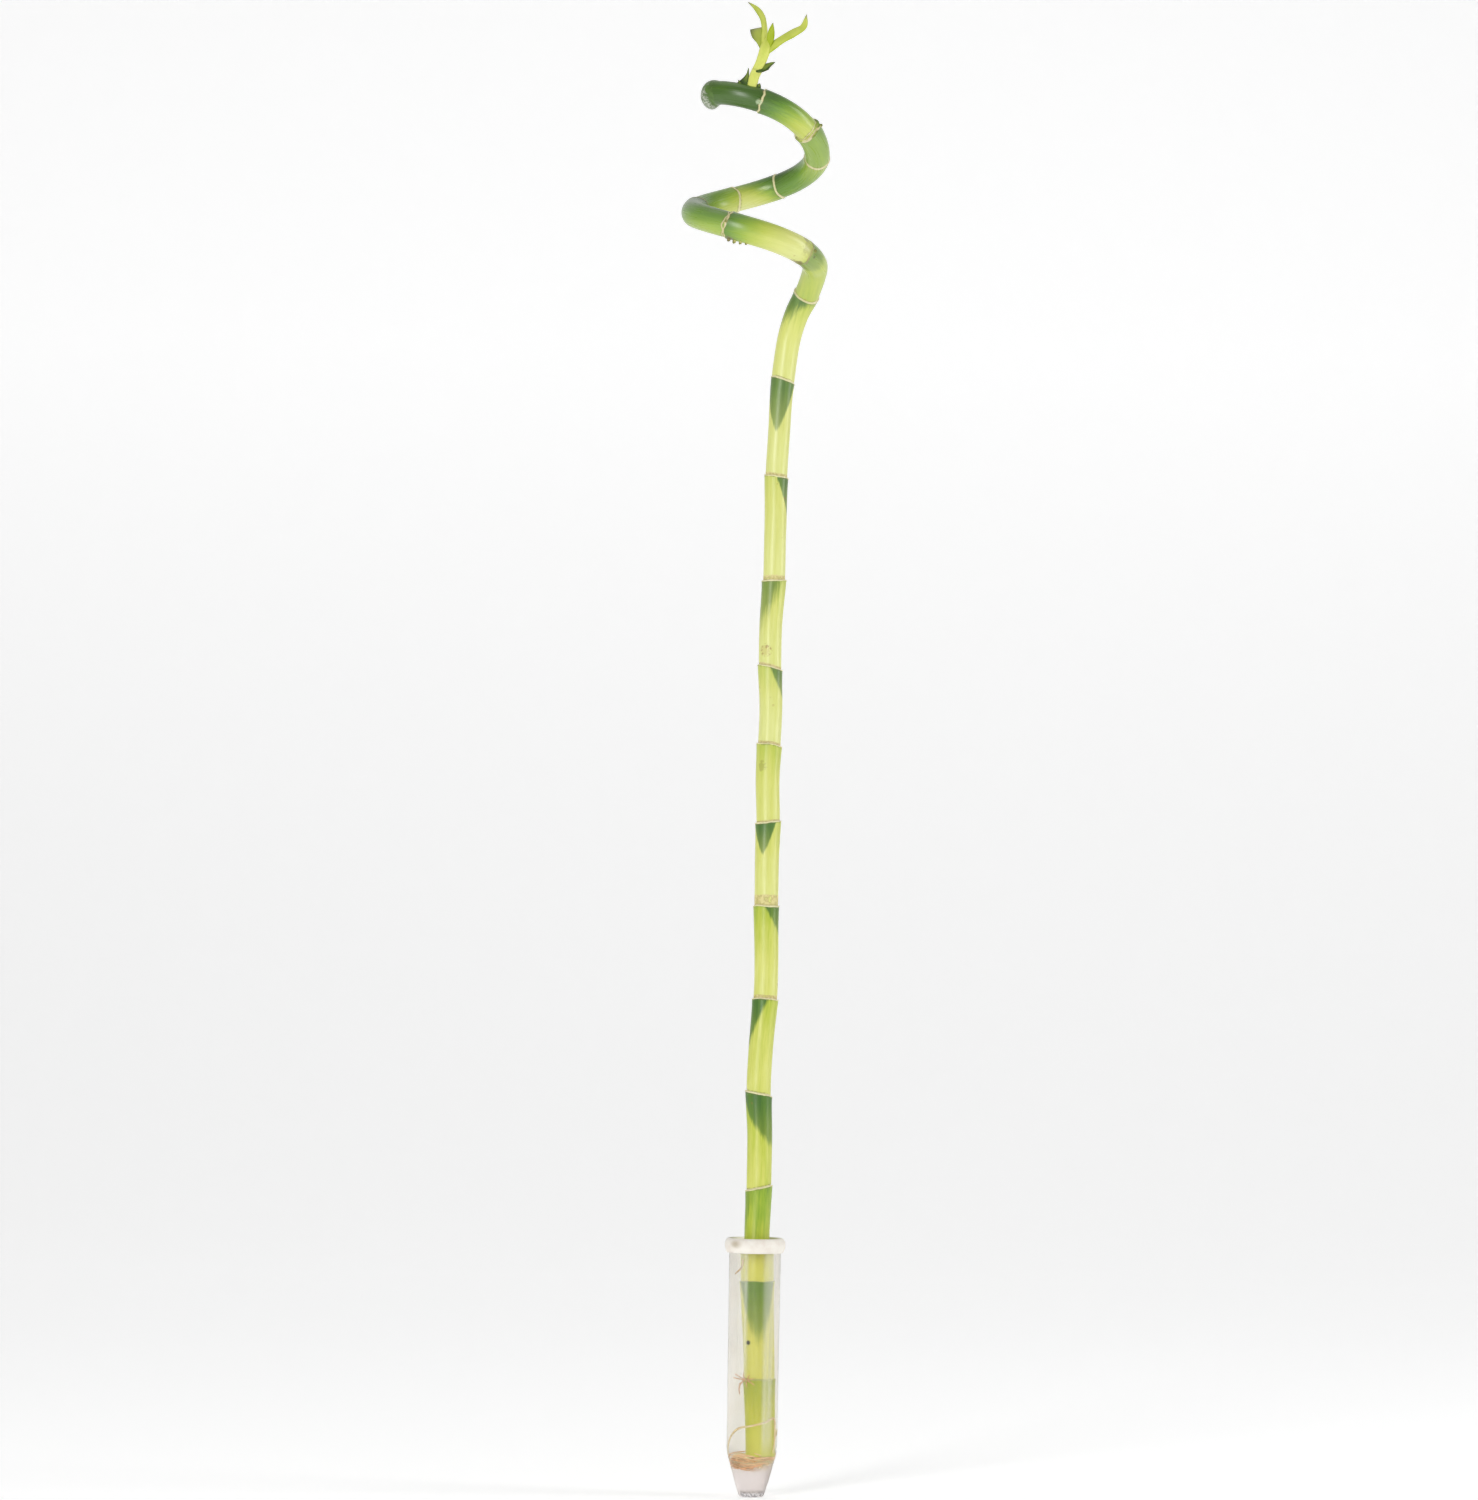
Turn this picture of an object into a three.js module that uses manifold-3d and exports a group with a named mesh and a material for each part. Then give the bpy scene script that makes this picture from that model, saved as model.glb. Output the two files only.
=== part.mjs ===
import * as THREE from 'three';
import { mergeVertices } from 'three/addons/utils/BufferGeometryUtils.js';
import Module from 'manifold-3d';

// A spiral lucky bamboo: a cane with a leafy shoot near its top, standing in a small clear tube of water
// that has a tapered foot and a white cap.
// Millimetres, +Z up. The origin is the centre of the tube's flat underside. The viewer stands at -Y.

// Clearance between pieces that touch
const GAP = 0.3;
// Lengths closer than this are the same place
const SAME = 0.01;

// Straight part of the cane. Each node from the foot up: its height, its place sideways (x) and in depth
// (y), the sideways bow of the internode above it, how far its ring leans down to the right in degrees,
// and the cane's radius half way up the internode above it.
const FOOT = { x: 3.2, y: -1.4, z: 18, radius: 5.2 };
const STRAIGHT_NODES = [
  { z: 51.4, x: 2.2, y: -1.1, bow: 0.1, lean: 0, radius: 5.3 },
  { z: 92.7, x: 0.8, y: -0.4, bow: -0.3, lean: 0, radius: 5.45 },
  { z: 134.5, x: 1.2, y: 0.9, bow: 0.4, lean: -13, radius: 5.4 },
  { z: 175.5, x: 0.4, y: 2.5, bow: -0.4, lean: 13, radius: 5.3 },
  { z: 216.8, x: 2.6, y: 4.2, bow: 0.25, lean: 0, radius: 5.2 },
  { z: 257.3, x: 2.4, y: 5.8, bow: -0.15, lean: 0, radius: 5.2 },
  { z: 293.9, x: 2.55, y: 7.3, bow: -0.4, lean: -5, radius: 5.15 },
  { z: 327.9, x: 2.5, y: 8.6, bow: 0.55, lean: 7, radius: 4.95 },
  { z: 361.8, x: 2.3, y: 10.0, bow: -0.4, lean: 13, radius: 4.95 },
  { z: 399.7, x: 3.35, y: 11.5, bow: 0.15, lean: -5, radius: 4.8 },
  { z: 445.4, x: 3.7, y: 13.3, bow: -0.2, lean: 7, radius: 4.8 },
  { z: 488.1, x: 5.9, y: 14.8, bow: 0, lean: 13, radius: 5.1 },
];

// Bend from the straight part into the coil, up to the first node of the spiral. It starts its reach
// below that node.
const BEND = [
  [8.2, 14.2, 505.9],
  [11.4, 11.4, 516.4],
];
const BEND_NODE = { x: 15.6, y: 6.6, z: 524.6, radius: 5.4, flare: 0.7 };
const BEND_REACH = 22;

// Coil of the spiral. It starts at its right side and winds to the front, the left and the back. It
// climbs one pitch a turn, sags a little in its first half turn, and is lifted in the third.
const COIL = {
  x: -7.4, y: -6.5, z: 534.1, radius: 26.4, pitch: 49, sag: 1, lift: 7.2, lift_power: 1.1,
};
const COIL_NODES = [
  { angle: 38.4, radius: 5.75 },
  { angle: 113.7, radius: 5.6 },
  { angle: 195, radius: 5.5 },
  { angle: 249.8, radius: 5.4 },
  { angle: 293.2, radius: 5.4 },
  { angle: 357, radius: 5.35 },
  { angle: 394.3, radius: 5.2, flare: 0.8 },
  { angle: 446.5, radius: 5.05 },
];
const CUT_ANGLE = 498;
const ROUTE_END_ANGLE = 515;
const COIL_STEP = 15;

// Relief of the cane. An internode flares towards its top and ends in a thin raised ring, and the next
// one steps in above it. The offsets are where rings of points stand about a node.
const CANE_SIDES = 14;
const FLARE = 0.5;
const COIL_FLARE = 0.25;
const FLARE_LENGTH = 9;
const RING_RELIEF = 0.12;
const RING_HEIGHT = 0.5;
const RING_OFFSETS = [-4, -0.8, -0.3, 0.35];
const RING_LEAN_REACH = 7;
const STRAIGHT_SPACING = 11;
const COIL_SPACING = 4;

// Root nubs under the second node of the coil: how far before the node each stands, and its height
const NUB_NODE = 1;
const NUBS = [
  { back: 1.6, height: 1.1 },
  { back: 4.2, height: 1.4 },
  { back: 6.9, height: 1.2 },
  { back: 9.4, height: 0.8 },
];
const NUB = { radius: 0.9, tip: 0.3, sunk: 1, forward: 0.35, sides: 6 };

// Wax over the cut top end: it caps the last stretch of the cane, which is thinner there, and sinks a
// little past the end. Its profile is [ahead of its start, more than its radius, sunk by].
const WAX = { length: 4.2, radius: 5.55, neck: 4.7, drip: 1.2, sides: 18 };
const WAX_PROFILE = [
  [0, -0.25, 0],
  [0.7, 0, 0],
  [3.8, 0.05, 0.1],
  [4.6, -0.2, 0.5],
  [5.4, -1.4, 0.9],
  [5.9, -3.6, 1.1],
];

// Leafy shoot, out of the top of the cane. Its points are [right, up, back] from its foot. A leaf has
// half its width at each point of its midrib, the way that its face looks, and how deep it is channelled.
const SHOOT_ANGLE = 457.5;
const SHOOT_LIFT = 1;
const SHOOT_SIDES = 10;
const SHOOT_STEPS = 12;
const SHOOT_STEM = [
  [-0.2, -2.4, 0],
  [0.8, 2.6, 0],
  [2.1, 5.7, 0],
  [3.4, 8.7, 0],
  [4.5, 11.7, 0],
  [5.4, 14.7, 0],
  [6, 17.2, 0],
];
const SHOOT_RADII = [2.2, 2.25, 2.3, 2.25, 2.35, 2.5, 1.6];
const SHOOT_NEAR = 14;
const BLADE = 0.7;
const LEAVES = {
  tall: {
    midrib: [
      [5.6, 14.5, 0.2],
      [5.3, 19.7, 0.4],
      [5.3, 24.6, 1.2],
      [4, 29, 1.7],
      [1.4, 32.6, 1.6],
      [-2.3, 35, 1],
    ],
    widths: [1.8, 1.8, 1.5, 1.5, 1.25, 0.15],
    facing: [0.45, 0.2, -0.85],
    channel: 0.35,
  },
  right: {
    midrib: [
      [5.8, 13.6, -0.4],
      [8.9, 16.3, -1],
      [13.2, 19.3, -1.8],
      [17.5, 21.7, -2.2],
      [21.4, 24.3, -2.2],
      [22.9, 29.6, -1.8],
    ],
    widths: [1.8, 2.1, 2.2, 2.15, 1.8, 0.15],
    facing: [-0.3, 0.42, -0.86],
    channel: 0.3,
  },
  centre: {
    midrib: [
      [6.6, 14.6, -0.8],
      [7.5, 18.4, -1.7],
      [7.9, 22, -2.2],
      [8.5, 25.7, -2.3],
    ],
    widths: [0.9, 1.5, 1.4, 0.15],
    facing: [0, 0.1, -1],
    channel: 0.3,
  },
  left: {
    midrib: [
      [4.6, 14.6, 0.9],
      [2.8, 18.5, 1.6],
      [1.3, 21.6, 2],
      [1.2, 24, 2.1],
    ],
    widths: [1.2, 1.5, 2.2, 2.7],
    facing: [-0.25, -0.1, -1],
    channel: 0.2,
  },
};

// Dark scale leaves at the shoot's foot and its first node
const SCALES = {
  left: {
    midrib: [
      [-3.9, -1.2, 0],
      [-3, 1, -0.1],
      [-2, 3.4, -0.1],
      [-1.6, 6.6, 0],
    ],
    widths: [3.2, 1.7, 0.75, 0.12],
    facing: [-0.2, 0, -1],
    channel: -0.35,
  },
  right: {
    midrib: [
      [3.7, 5.1, -0.4],
      [5.6, 6.9, -0.6],
      [7.6, 8.3, -0.6],
      [9.7, 9.2, -0.4],
    ],
    widths: [1.7, 1.8, 1.15, 0.12],
    facing: [-0.25, 0.4, -0.88],
    channel: 0.3,
  },
  front: {
    midrib: [
      [2.7, -2.1, -0.6],
      [3, -1, -0.7],
      [3.4, -0.1, -0.7],
    ],
    widths: [1.1, 0.9, 0.15],
    facing: [0.2, 0.2, -1],
    channel: -0.2,
  },
};

// Section of a blade: places across it from one edge round to the other and back, with the face that
// each is on. The edge is thinner than the middle, and so is a narrow tip.
const BLADE_SECTION = [
  [-1, 0],
  [-0.55, 1],
  [0, 1],
  [0.55, 1],
  [1, 0],
  [0.55, -1],
  [0, -1],
  [-0.55, -1],
];
const BLADE_STEPS = 3;
const EDGE_THINNING = 0.35;
const TIP_HALF_WIDTH = 0.6;

// Tube: its outside as [radius, height] up to its rim, its wall and its thicker floor
const TUBE = { rim: 108.2, rim_radius: 11.35, wall: 1, floor: 1.8 };
const TUBE_OUTSIDE = [
  [5.6, 0],
  [6, 0.5],
  [6.25, 2.2],
  [7.2, 5.9],
  [8.65, 11.1],
  [9.9, 15.6],
  [10.65, 18.4],
  [11.05, 21.5],
  [TUBE.rim_radius, TUBE.rim],
];
const ROUND_SIDES = 36;
const WATER_TOP = 107.2;

// Cap on the rim: a rounded ring about a sunk web that has a hole for the cane
const CAP = {
  bottom: 105.6,
  top: 112.8,
  radius: 13.25,
  foot_radius: 12.2,
  foot_height: 3.2,
  foot_bulge: 0.3,
  edge: 0.9,
  lip: 1.7,
  dish_edge: 0.5,
  dish_slope: 0.8,
  web: 1.6,
  hole: 7.2,
};

// Roots at the foot: a core under the cut end, strands that wind out of it to the tube's wall, and two
// long roots. Points are [x, y, height], and the core's profile is [radius, height].
const ROOT = { radius: 0.55, tip: 0.35, sides: 5, steps: 9, spacing: 2.6 };
const MAT = {
  x: 0.6, y: 0, strands: 6, low: 13, high: 18.6, start: 3.2, wall_gap: 1.3, wander: 0.9, wind: 2.2,
};
const MAT_CORE = [
  [2.4, 17.7],
  [5.4, 17.4],
  [6.2, 15.6],
  [5.2, 13.4],
  [2.2, 12.6],
];
const LONG_ROOTS = [
  [
    [5.2, -2.2, 14.6],
    [8.4, -2.6, 21],
    [8.9, -2.4, 29],
    [8.6, -3.6, 34.4],
    [5.2, -7.6, 33],
    [0, -8.9, 31.6],
    [-5.6, -7.2, 30.2],
    [-8.6, -3.2, 25.8],
    [-8.4, 0.6, 19.6],
    [-5.4, 2.4, 14.4],
  ],
  [
    [4.8, 3, 15],
    [6.6, 6, 20],
    [5.2, 7.8, 27],
    [1.2, 9.2, 33],
  ],
];

// Short roots out of a pad at the lowest node, on the left, and the single one near the water's surface
const SHORT_ROOT_STEPS = 6;
const NODE_ROOTS = [
  [
    [-3.8, -1.8, 50.8],
    [-5.2, -2.7, 51.5],
    [-7, -2.6, 53.2],
  ],
  [
    [-3.9, -1.6, 50.2],
    [-5.6, -1.2, 49.6],
    [-7.6, -0.6, 50.6],
  ],
  [
    [-3.8, -2.2, 49.8],
    [-4.6, -3.8, 49],
    [-5.8, -4.6, 47.4],
  ],
];
const ROOT_PAD = {
  points: [
    [-3.6, -1.8, 48.6],
    [-4, -1.9, 50.2],
    [-3.6, -1.9, 51.8],
  ],
  radii: [0.7, 1, 0.7],
};
const UPPER_ROOT = {
  points: [
    [-4.4, -2.2, 103.6],
    [-4.6, -3.4, 101.4],
    [-5.4, -3.8, 99.2],
    [-7.2, -3.4, 97.2],
  ],
  radii: [0.55, 0.5, 0.3],
};

// Colours
const COLOURS = {
  cane: 0xb7c65c,
  wax: 0xc3c8b8,
  shoot: 0xd0da66,
  scale: 0x3f5a24,
  root: 0xc98a4f,
  water: 0xe8ece8,
  tube: 0xf0ece8,
  cap: 0xf3ece0,
};
const SEE_THROUGH = 0.3;

const wasm = await Module();
wasm.setup();

const UP = new THREE.Vector3(0, 0, 1);
const TO_VIEWER = new THREE.Vector3(0, -1, 0);

function vector([x, y, z]) {
  return new THREE.Vector3(x, y, z);
}

function spot({ x, y, z }) {
  return new THREE.Vector3(x, y, z);
}

// A repeatable stand-in for chance, from 0 to 1
function chance(seed) {
  const wave = Math.sin(seed * 127.1 + 11.7) * 43758.5453;
  return wave - Math.floor(wave);
}

// The value at a share, from 0 to 1, of the way along an even list of numbers
function mixed(list, share) {
  const along = share * (list.length - 1);
  const k = Math.min(Math.floor(along), list.length - 2);
  return list[k] + (list[k + 1] - list[k]) * (along - k);
}

// A curve's points at small steps, with the length run so far and a frame that doesn't twist about it
class Route {
  constructor(points, stepsEach = 24) {
    const curve = new THREE.CatmullRomCurve3(points, false, 'centripetal');
    this.points = curve.getPoints((points.length - 1) * stepsEach);
    this.lengths = [0];
    for (let i = 1; i < this.points.length; i += 1) {
      this.lengths.push(this.lengths[i - 1] + this.points[i].distanceTo(this.points[i - 1]));
    }
    this.tangents = this.points.map((_, i) => {
      const before = this.points[Math.max(i - 1, 0)];
      const after = this.points[Math.min(i + 1, this.points.length - 1)];
      return after.clone().sub(before).normalize();
    });
    let front = TO_VIEWER.clone();
    this.fronts = this.tangents.map((tangent) => {
      front = front.clone().addScaledVector(tangent, -front.dot(tangent)).normalize();
      return front;
    });
  }

  get length() {
    return this.lengths[this.lengths.length - 1];
  }

  // The length run at the sample nearest to a point
  near(point) {
    const distances = this.points.map((p) => p.distanceTo(point));
    return this.lengths[distances.indexOf(Math.min(...distances))];
  }

  // Place and frame at a length run from the start
  at(run) {
    let i = 1;
    while (i < this.lengths.length - 1 && this.lengths[i] < run) i += 1;
    const share = (run - this.lengths[i - 1]) / (this.lengths[i] - this.lengths[i - 1]);
    const mix = (list) => list[i - 1].clone().lerp(list[i], share);
    const tangent = mix(this.tangents).normalize();
    const front = mix(this.fronts);
    front.addScaledVector(tangent, -front.dot(tangent)).normalize();
    return { point: mix(this.points), tangent, front, side: tangent.clone().cross(front) };
  }
}

// A closed surface over rings that all have as many points, with a fan over each end. Faces point out.
function skin(rings) {
  const sides = rings[0].length;
  const centre = (ring) => ring.reduce((sum, p) => sum.add(p), new THREE.Vector3()).divideScalar(sides);
  const points = [...rings.flat(), centre(rings[0]), centre(rings[rings.length - 1])];
  const first = rings.length * sides;
  const faces = [];
  for (let r = 0; r < rings.length - 1; r += 1) {
    for (let k = 0; k < sides; k += 1) {
      const a = r * sides + k;
      const b = r * sides + ((k + 1) % sides);
      faces.push([a, b, a + sides], [b, b + sides, a + sides]);
    }
  }
  for (let k = 0; k < sides; k += 1) {
    const next = (k + 1) % sides;
    faces.push([first, next, k], [first + 1, first - sides + k, first - sides + next]);
  }
  const sixth = ([a, b, c]) => points[a].dot(points[b].clone().cross(points[c]));
  const volume = faces.reduce((sum, face) => sum + sixth(face), 0);
  const outward = volume > 0 ? faces : faces.map(([a, b, c]) => [a, c, b]);
  const numbers = points.flatMap((p) => p.toArray());
  const geometry = new THREE.BufferGeometry();
  geometry.setAttribute('position', new THREE.Float32BufferAttribute(numbers, 3));
  geometry.setIndex(outward.flat());
  return geometry;
}

// A surface turned about the Z axis, from a profile of [radius, height] that closes on itself or on
// the axis
function turned(profile) {
  const outline = profile.map(([radius, height]) => new THREE.Vector2(radius, height));
  return new THREE.LatheGeometry(outline, ROUND_SIDES).rotateX(Math.PI / 2);
}

// A closed geometry as a solid that can be cut and joined
function solid(geometry) {
  const bare = geometry.clone();
  bare.deleteAttribute('normal');
  bare.deleteAttribute('uv');
  const merged = mergeVertices(bare, 1e-5);
  const made = new wasm.Manifold(new wasm.Mesh({
    numProp: 3,
    vertProperties: new Float32Array(merged.attributes.position.array),
    triVerts: new Uint32Array(merged.index.array),
  }));
  return made.volume() > 0 ? made : solid(flipped(merged));
}

function flipped(geometry) {
  const index = Array.from(geometry.index.array);
  for (let i = 0; i < index.length; i += 3) {
    [index[i + 1], index[i + 2]] = [index[i + 2], index[i + 1]];
  }
  geometry.setIndex(index);
  return geometry;
}

// The largest body of a solid, as a geometry. Cutting can leave loose scraps, which are dropped.
function geometryOf(made) {
  const bodies = made.decompose().sort((a, b) => b.volume() - a.volume());
  const { vertProperties, triVerts } = bodies[0].getMesh();
  const geometry = new THREE.BufferGeometry();
  geometry.setAttribute('position', new THREE.BufferAttribute(new Float32Array(vertProperties), 3));
  geometry.setIndex(new THREE.BufferAttribute(new Uint32Array(triVerts), 1));
  geometry.computeVertexNormals();
  return geometry;
}

function joined(solids) {
  return solids.reduce((sum, next) => sum.add(next));
}

// A ring of points about a place on a route. The radius may depend on the outward direction.
function ringAbout(place, sides, radiusOf) {
  return Array.from({ length: sides }, (_, k) => {
    const turn = (2 * Math.PI * k) / sides;
    const out = place.front.clone().multiplyScalar(Math.cos(turn));
    out.addScaledVector(place.side, Math.sin(turn));
    return place.point.clone().addScaledVector(out, radiusOf(out));
  });
}

// A round rod along points, with a radius at each, thickened all over by more
function rod(points, radii, sides, steps, more = 0) {
  const path = new Route(points.map(vector), 12);
  const rings = Array.from({ length: steps + 1 }, (_, i) => {
    const ring = path.at((path.length * i) / steps);
    const past = more * (Number(i === steps) - Number(i === 0));
    ring.point.addScaledVector(ring.tangent, past);
    return ringAbout(ring, sides, () => mixed(radii, i / steps) + more);
  });
  return solid(skin(rings));
}

// Point on the coil's centreline at an angle in degrees
function coilPoint(angle) {
  const turn = angle / 360;
  const rad = THREE.MathUtils.degToRad(angle);
  const sag = COIL.sag * Math.max(0, Math.sin(Math.PI * turn));
  const lift = COIL.lift * Math.max(0, Math.sin(2 * Math.PI * (turn - 1))) ** COIL.lift_power;
  return new THREE.Vector3(
    COIL.x + COIL.radius * Math.cos(rad),
    COIL.y - COIL.radius * Math.sin(rad),
    COIL.z + COIL.pitch * turn + (turn > 1 ? lift : -sag),
  );
}

// Centreline of the cane, a little past its cut end
function caneRoute() {
  const points = [spot(FOOT)];
  STRAIGHT_NODES.forEach((node, i) => {
    const next = STRAIGHT_NODES[i + 1];
    points.push(spot(node));
    if (next) {
      const half = spot(node).lerp(spot(next), 0.5);
      half.x += node.bow;
      points.push(half);
    }
  });
  points.push(...BEND.map(vector), spot(BEND_NODE));
  for (let angle = 0; angle <= ROUTE_END_ANGLE; angle += COIL_STEP) {
    points.push(coilPoint(angle));
  }
  return new Route(points);
}

const route = caneRoute();
const caneEnd = route.near(coilPoint(CUT_ANGLE));
const neckStart = caneEnd - WAX.length;

// Every node up the cane, with the length run at which it stands. The first is the cut foot.
function nodeAt(node, point, flare) {
  return { lean: 0, flare, ...node, run: route.near(point) };
}

const coilNodes = COIL_NODES.map((node) => nodeAt(node, coilPoint(node.angle), COIL_FLARE));
const bendNode = nodeAt(BEND_NODE, spot(BEND_NODE), COIL_FLARE);
const nodes = [
  { run: 0, radius: FOOT.radius, lean: 0 },
  ...STRAIGHT_NODES.map((node) => nodeAt(node, spot(node), FLARE)),
  bendNode,
  ...coilNodes,
];

// Radius of the cane at a length run: the internode's own, with the flare under the next node and its
// ring
function caneRadius(run) {
  if (run > neckStart - SAME) return WAX.neck;
  const found = nodes.findIndex((node, i) => i > 0 && node.run + SAME >= run);
  if (found < 0) return nodes[nodes.length - 1].radius;
  const below = nodes[found].run - run;
  const ring = below < RING_HEIGHT ? RING_RELIEF : 0;
  return nodes[found - 1].radius + nodes[found].flare * Math.exp(-below / FLARE_LENGTH) + ring;
}

// Lengths run at which the cane has a ring of points: close about each node, and evenly between
function caneStations(from, to) {
  const about = nodes.slice(1).flatMap((node) => RING_OFFSETS.map((offset) => node.run + offset));
  const fixed = [...about, from, to, neckStart - RING_HEIGHT, neckStart];
  const kept = fixed.filter((run) => run >= from && run <= to).sort((a, b) => a - b);
  const stations = [kept[0]];
  for (const run of kept.slice(1)) {
    const last = stations[stations.length - 1];
    const spacing = run > bendNode.run - BEND_REACH ? COIL_SPACING : STRAIGHT_SPACING;
    const parts = run - last < 2 * SAME ? 0 : Math.ceil((run - last) / spacing);
    for (let i = 1; i <= parts; i += 1) {
      stations.push(last + ((run - last) * i) / parts);
    }
  }
  return stations;
}

// A stretch of the cane, thickened all over by more. The rings near a leaning node lean with it.
function caneStretch(from, to, more = 0) {
  const rings = caneStations(from, to).map((run) => {
    const ring = route.at(run);
    const past = Number(run === to) - Number(run === from);
    const nearest = nodes.reduce((a, b) => (Math.abs(b.run - run) < Math.abs(a.run - run) ? b : a));
    const fade = past ? 0 : Math.exp(-(((run - nearest.run) / RING_LEAN_REACH) ** 2));
    const slope = Math.tan(THREE.MathUtils.degToRad(nearest.lean)) * fade;
    const points = ringAbout(ring, CANE_SIDES, () => caneRadius(run) + more);
    return points.map((p) => {
      const right = p.x - ring.point.x;
      return p.addScaledVector(ring.tangent, past * more - slope * right);
    });
  });
  return solid(skin(rings));
}

// Root nubs: short cones that point down and a little forward out of the cane's underside
function nubs() {
  return NUBS.map(({ back, height }) => {
    const run = coilNodes[NUB_NODE].run - back;
    const { point, tangent } = route.at(run);
    const down = UP.clone().negate().addScaledVector(TO_VIEWER, NUB.forward);
    down.addScaledVector(tangent, -down.dot(tangent)).normalize();
    const root = point.clone().addScaledVector(down, caneRadius(run) - NUB.sunk);
    const tip = point.clone().addScaledVector(down, caneRadius(run) + height);
    const points = [root, root.clone().lerp(tip, 0.5), tip].map((p) => p.toArray());
    return rod(points, [NUB.radius, NUB.radius, NUB.tip], NUB.sides, 3);
  });
}

function cane() {
  return joined([caneStretch(0, caneEnd), ...nubs()]);
}

// The wax is a closed cap about the end of the cane, domed past it and thicker underneath
function waxSeal() {
  const start = neckStart + GAP;
  const rings = WAX_PROFILE.map(([ahead, more, sunk], i) => {
    const ring = route.at(start + ahead);
    ring.point.addScaledVector(UP, -sunk);
    const drip = WAX.drip * Math.sin((Math.PI * (i + 0.4)) / WAX_PROFILE.length) ** 2;
    return ringAbout(ring, WAX.sides, (out) => WAX.radius + more + drip * Math.max(0, -out.z) ** 3);
  });
  const hollow = [start - 1.5, start + 1, start + 2.5, caneEnd + GAP].map((run) => (
    ringAbout(route.at(run), CANE_SIDES, () => WAX.neck + GAP)
  ));
  return solid(skin(rings)).subtract(solid(skin(hollow)));
}

// The shoot's foot, on top of the cane
function shootFootAt(run) {
  const { point, tangent } = route.at(run);
  const out = UP.clone().addScaledVector(tangent, -UP.dot(tangent)).normalize();
  return point.clone().addScaledVector(out, caneRadius(run));
}

const shootRun = route.near(coilPoint(SHOOT_ANGLE));
const shootFoot = shootFootAt(shootRun);

function fromFoot([right, up, back]) {
  return [shootFoot.x + right, shootFoot.y + back, shootFoot.z + up + SHOOT_LIFT];
}

// A blade: a thin lens in section, bent to a channel along its midrib, that keeps facing one way
function blade({ midrib, widths, facing, channel }, more = 0) {
  const path = new Route(midrib.map(fromFoot).map(vector), 12);
  const [right, up, back] = facing;
  const towards = new THREE.Vector3(right, back, up);
  const steps = (midrib.length - 1) * BLADE_STEPS;
  const rings = Array.from({ length: steps + 1 }, (_, i) => {
    const { point, tangent } = path.at((path.length * i) / steps);
    const wide = tangent.clone().cross(towards).normalize();
    const out = wide.clone().cross(tangent).normalize();
    const half = mixed(widths, i / steps) + more;
    return BLADE_SECTION.map(([across, face]) => {
      const thin = Math.min(1, half / TIP_HALF_WIDTH) * (1 - EDGE_THINNING * across ** 2);
      const lift = face * (BLADE / 2 + more) * thin - channel * across ** 2 * Math.min(1, half);
      return point.clone().addScaledVector(wide, across * half).addScaledVector(out, lift);
    });
  });
  return solid(skin(rings));
}

function shootStem(more = 0) {
  return rod(SHOOT_STEM.map(fromFoot), SHOOT_RADII, SHOOT_SIDES, SHOOT_STEPS, more);
}

function caneNearShoot() {
  return caneStretch(shootRun - SHOOT_NEAR, shootRun + SHOOT_NEAR, GAP);
}

function leafyShoot() {
  const leaves = Object.values(LEAVES).map((leaf) => blade(leaf));
  return joined([shootStem(), ...leaves]).subtract(caneNearShoot());
}

function scaleLeaf(name) {
  const shoot = joined([shootStem(GAP), blade(LEAVES.right, GAP)]);
  return blade(SCALES[name]).subtract(shoot).subtract(caneNearShoot());
}

// Inner radius of the tube at a height
function tubeInside(z) {
  const i = TUBE_OUTSIDE.findIndex(([, height]) => height >= z);
  const [[r0, z0], [r1, z1]] = [TUBE_OUTSIDE[i - 1], TUBE_OUTSIDE[i]];
  return r0 + ((r1 - r0) * (z - z0)) / (z1 - z0) - TUBE.wall;
}

// Profile of the tube's inside from its floor up to a height, drawn in by a gap
function insideProfile(top, gap) {
  const bottom = TUBE.floor + gap;
  const between = TUBE_OUTSIDE.map(([, z]) => z).filter((z) => z > bottom + 1 && z < top);
  return [bottom, ...between, top].map((z) => [tubeInside(z) - gap, z]);
}

function tube() {
  const inside = insideProfile(TUBE.rim, 0);
  return solid(turned([[0, 0], ...TUBE_OUTSIDE, ...inside.reverse(), [0, TUBE.floor]]));
}

function cap() {
  const seat = TUBE.rim + GAP;
  const inner = TUBE.rim_radius + GAP;
  const lip = CAP.radius - CAP.lip;
  return solid(turned([
    [CAP.hole, seat],
    [inner, seat],
    [inner, CAP.bottom],
    [CAP.foot_radius, CAP.bottom],
    [CAP.radius - CAP.foot_bulge, CAP.bottom + CAP.foot_height / 2],
    [CAP.radius, CAP.bottom + CAP.foot_height],
    [CAP.radius, CAP.top - 2 * CAP.edge],
    [CAP.radius - 0.4 * CAP.edge, CAP.top - 0.6 * CAP.edge],
    [CAP.radius - CAP.edge, CAP.top],
    [lip, CAP.top],
    [lip - CAP.dish_edge, CAP.top - CAP.dish_edge],
    [lip - CAP.dish_slope, seat + CAP.web],
    [CAP.hole, seat + CAP.web],
    [CAP.hole, seat],
  ]));
}

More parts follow.
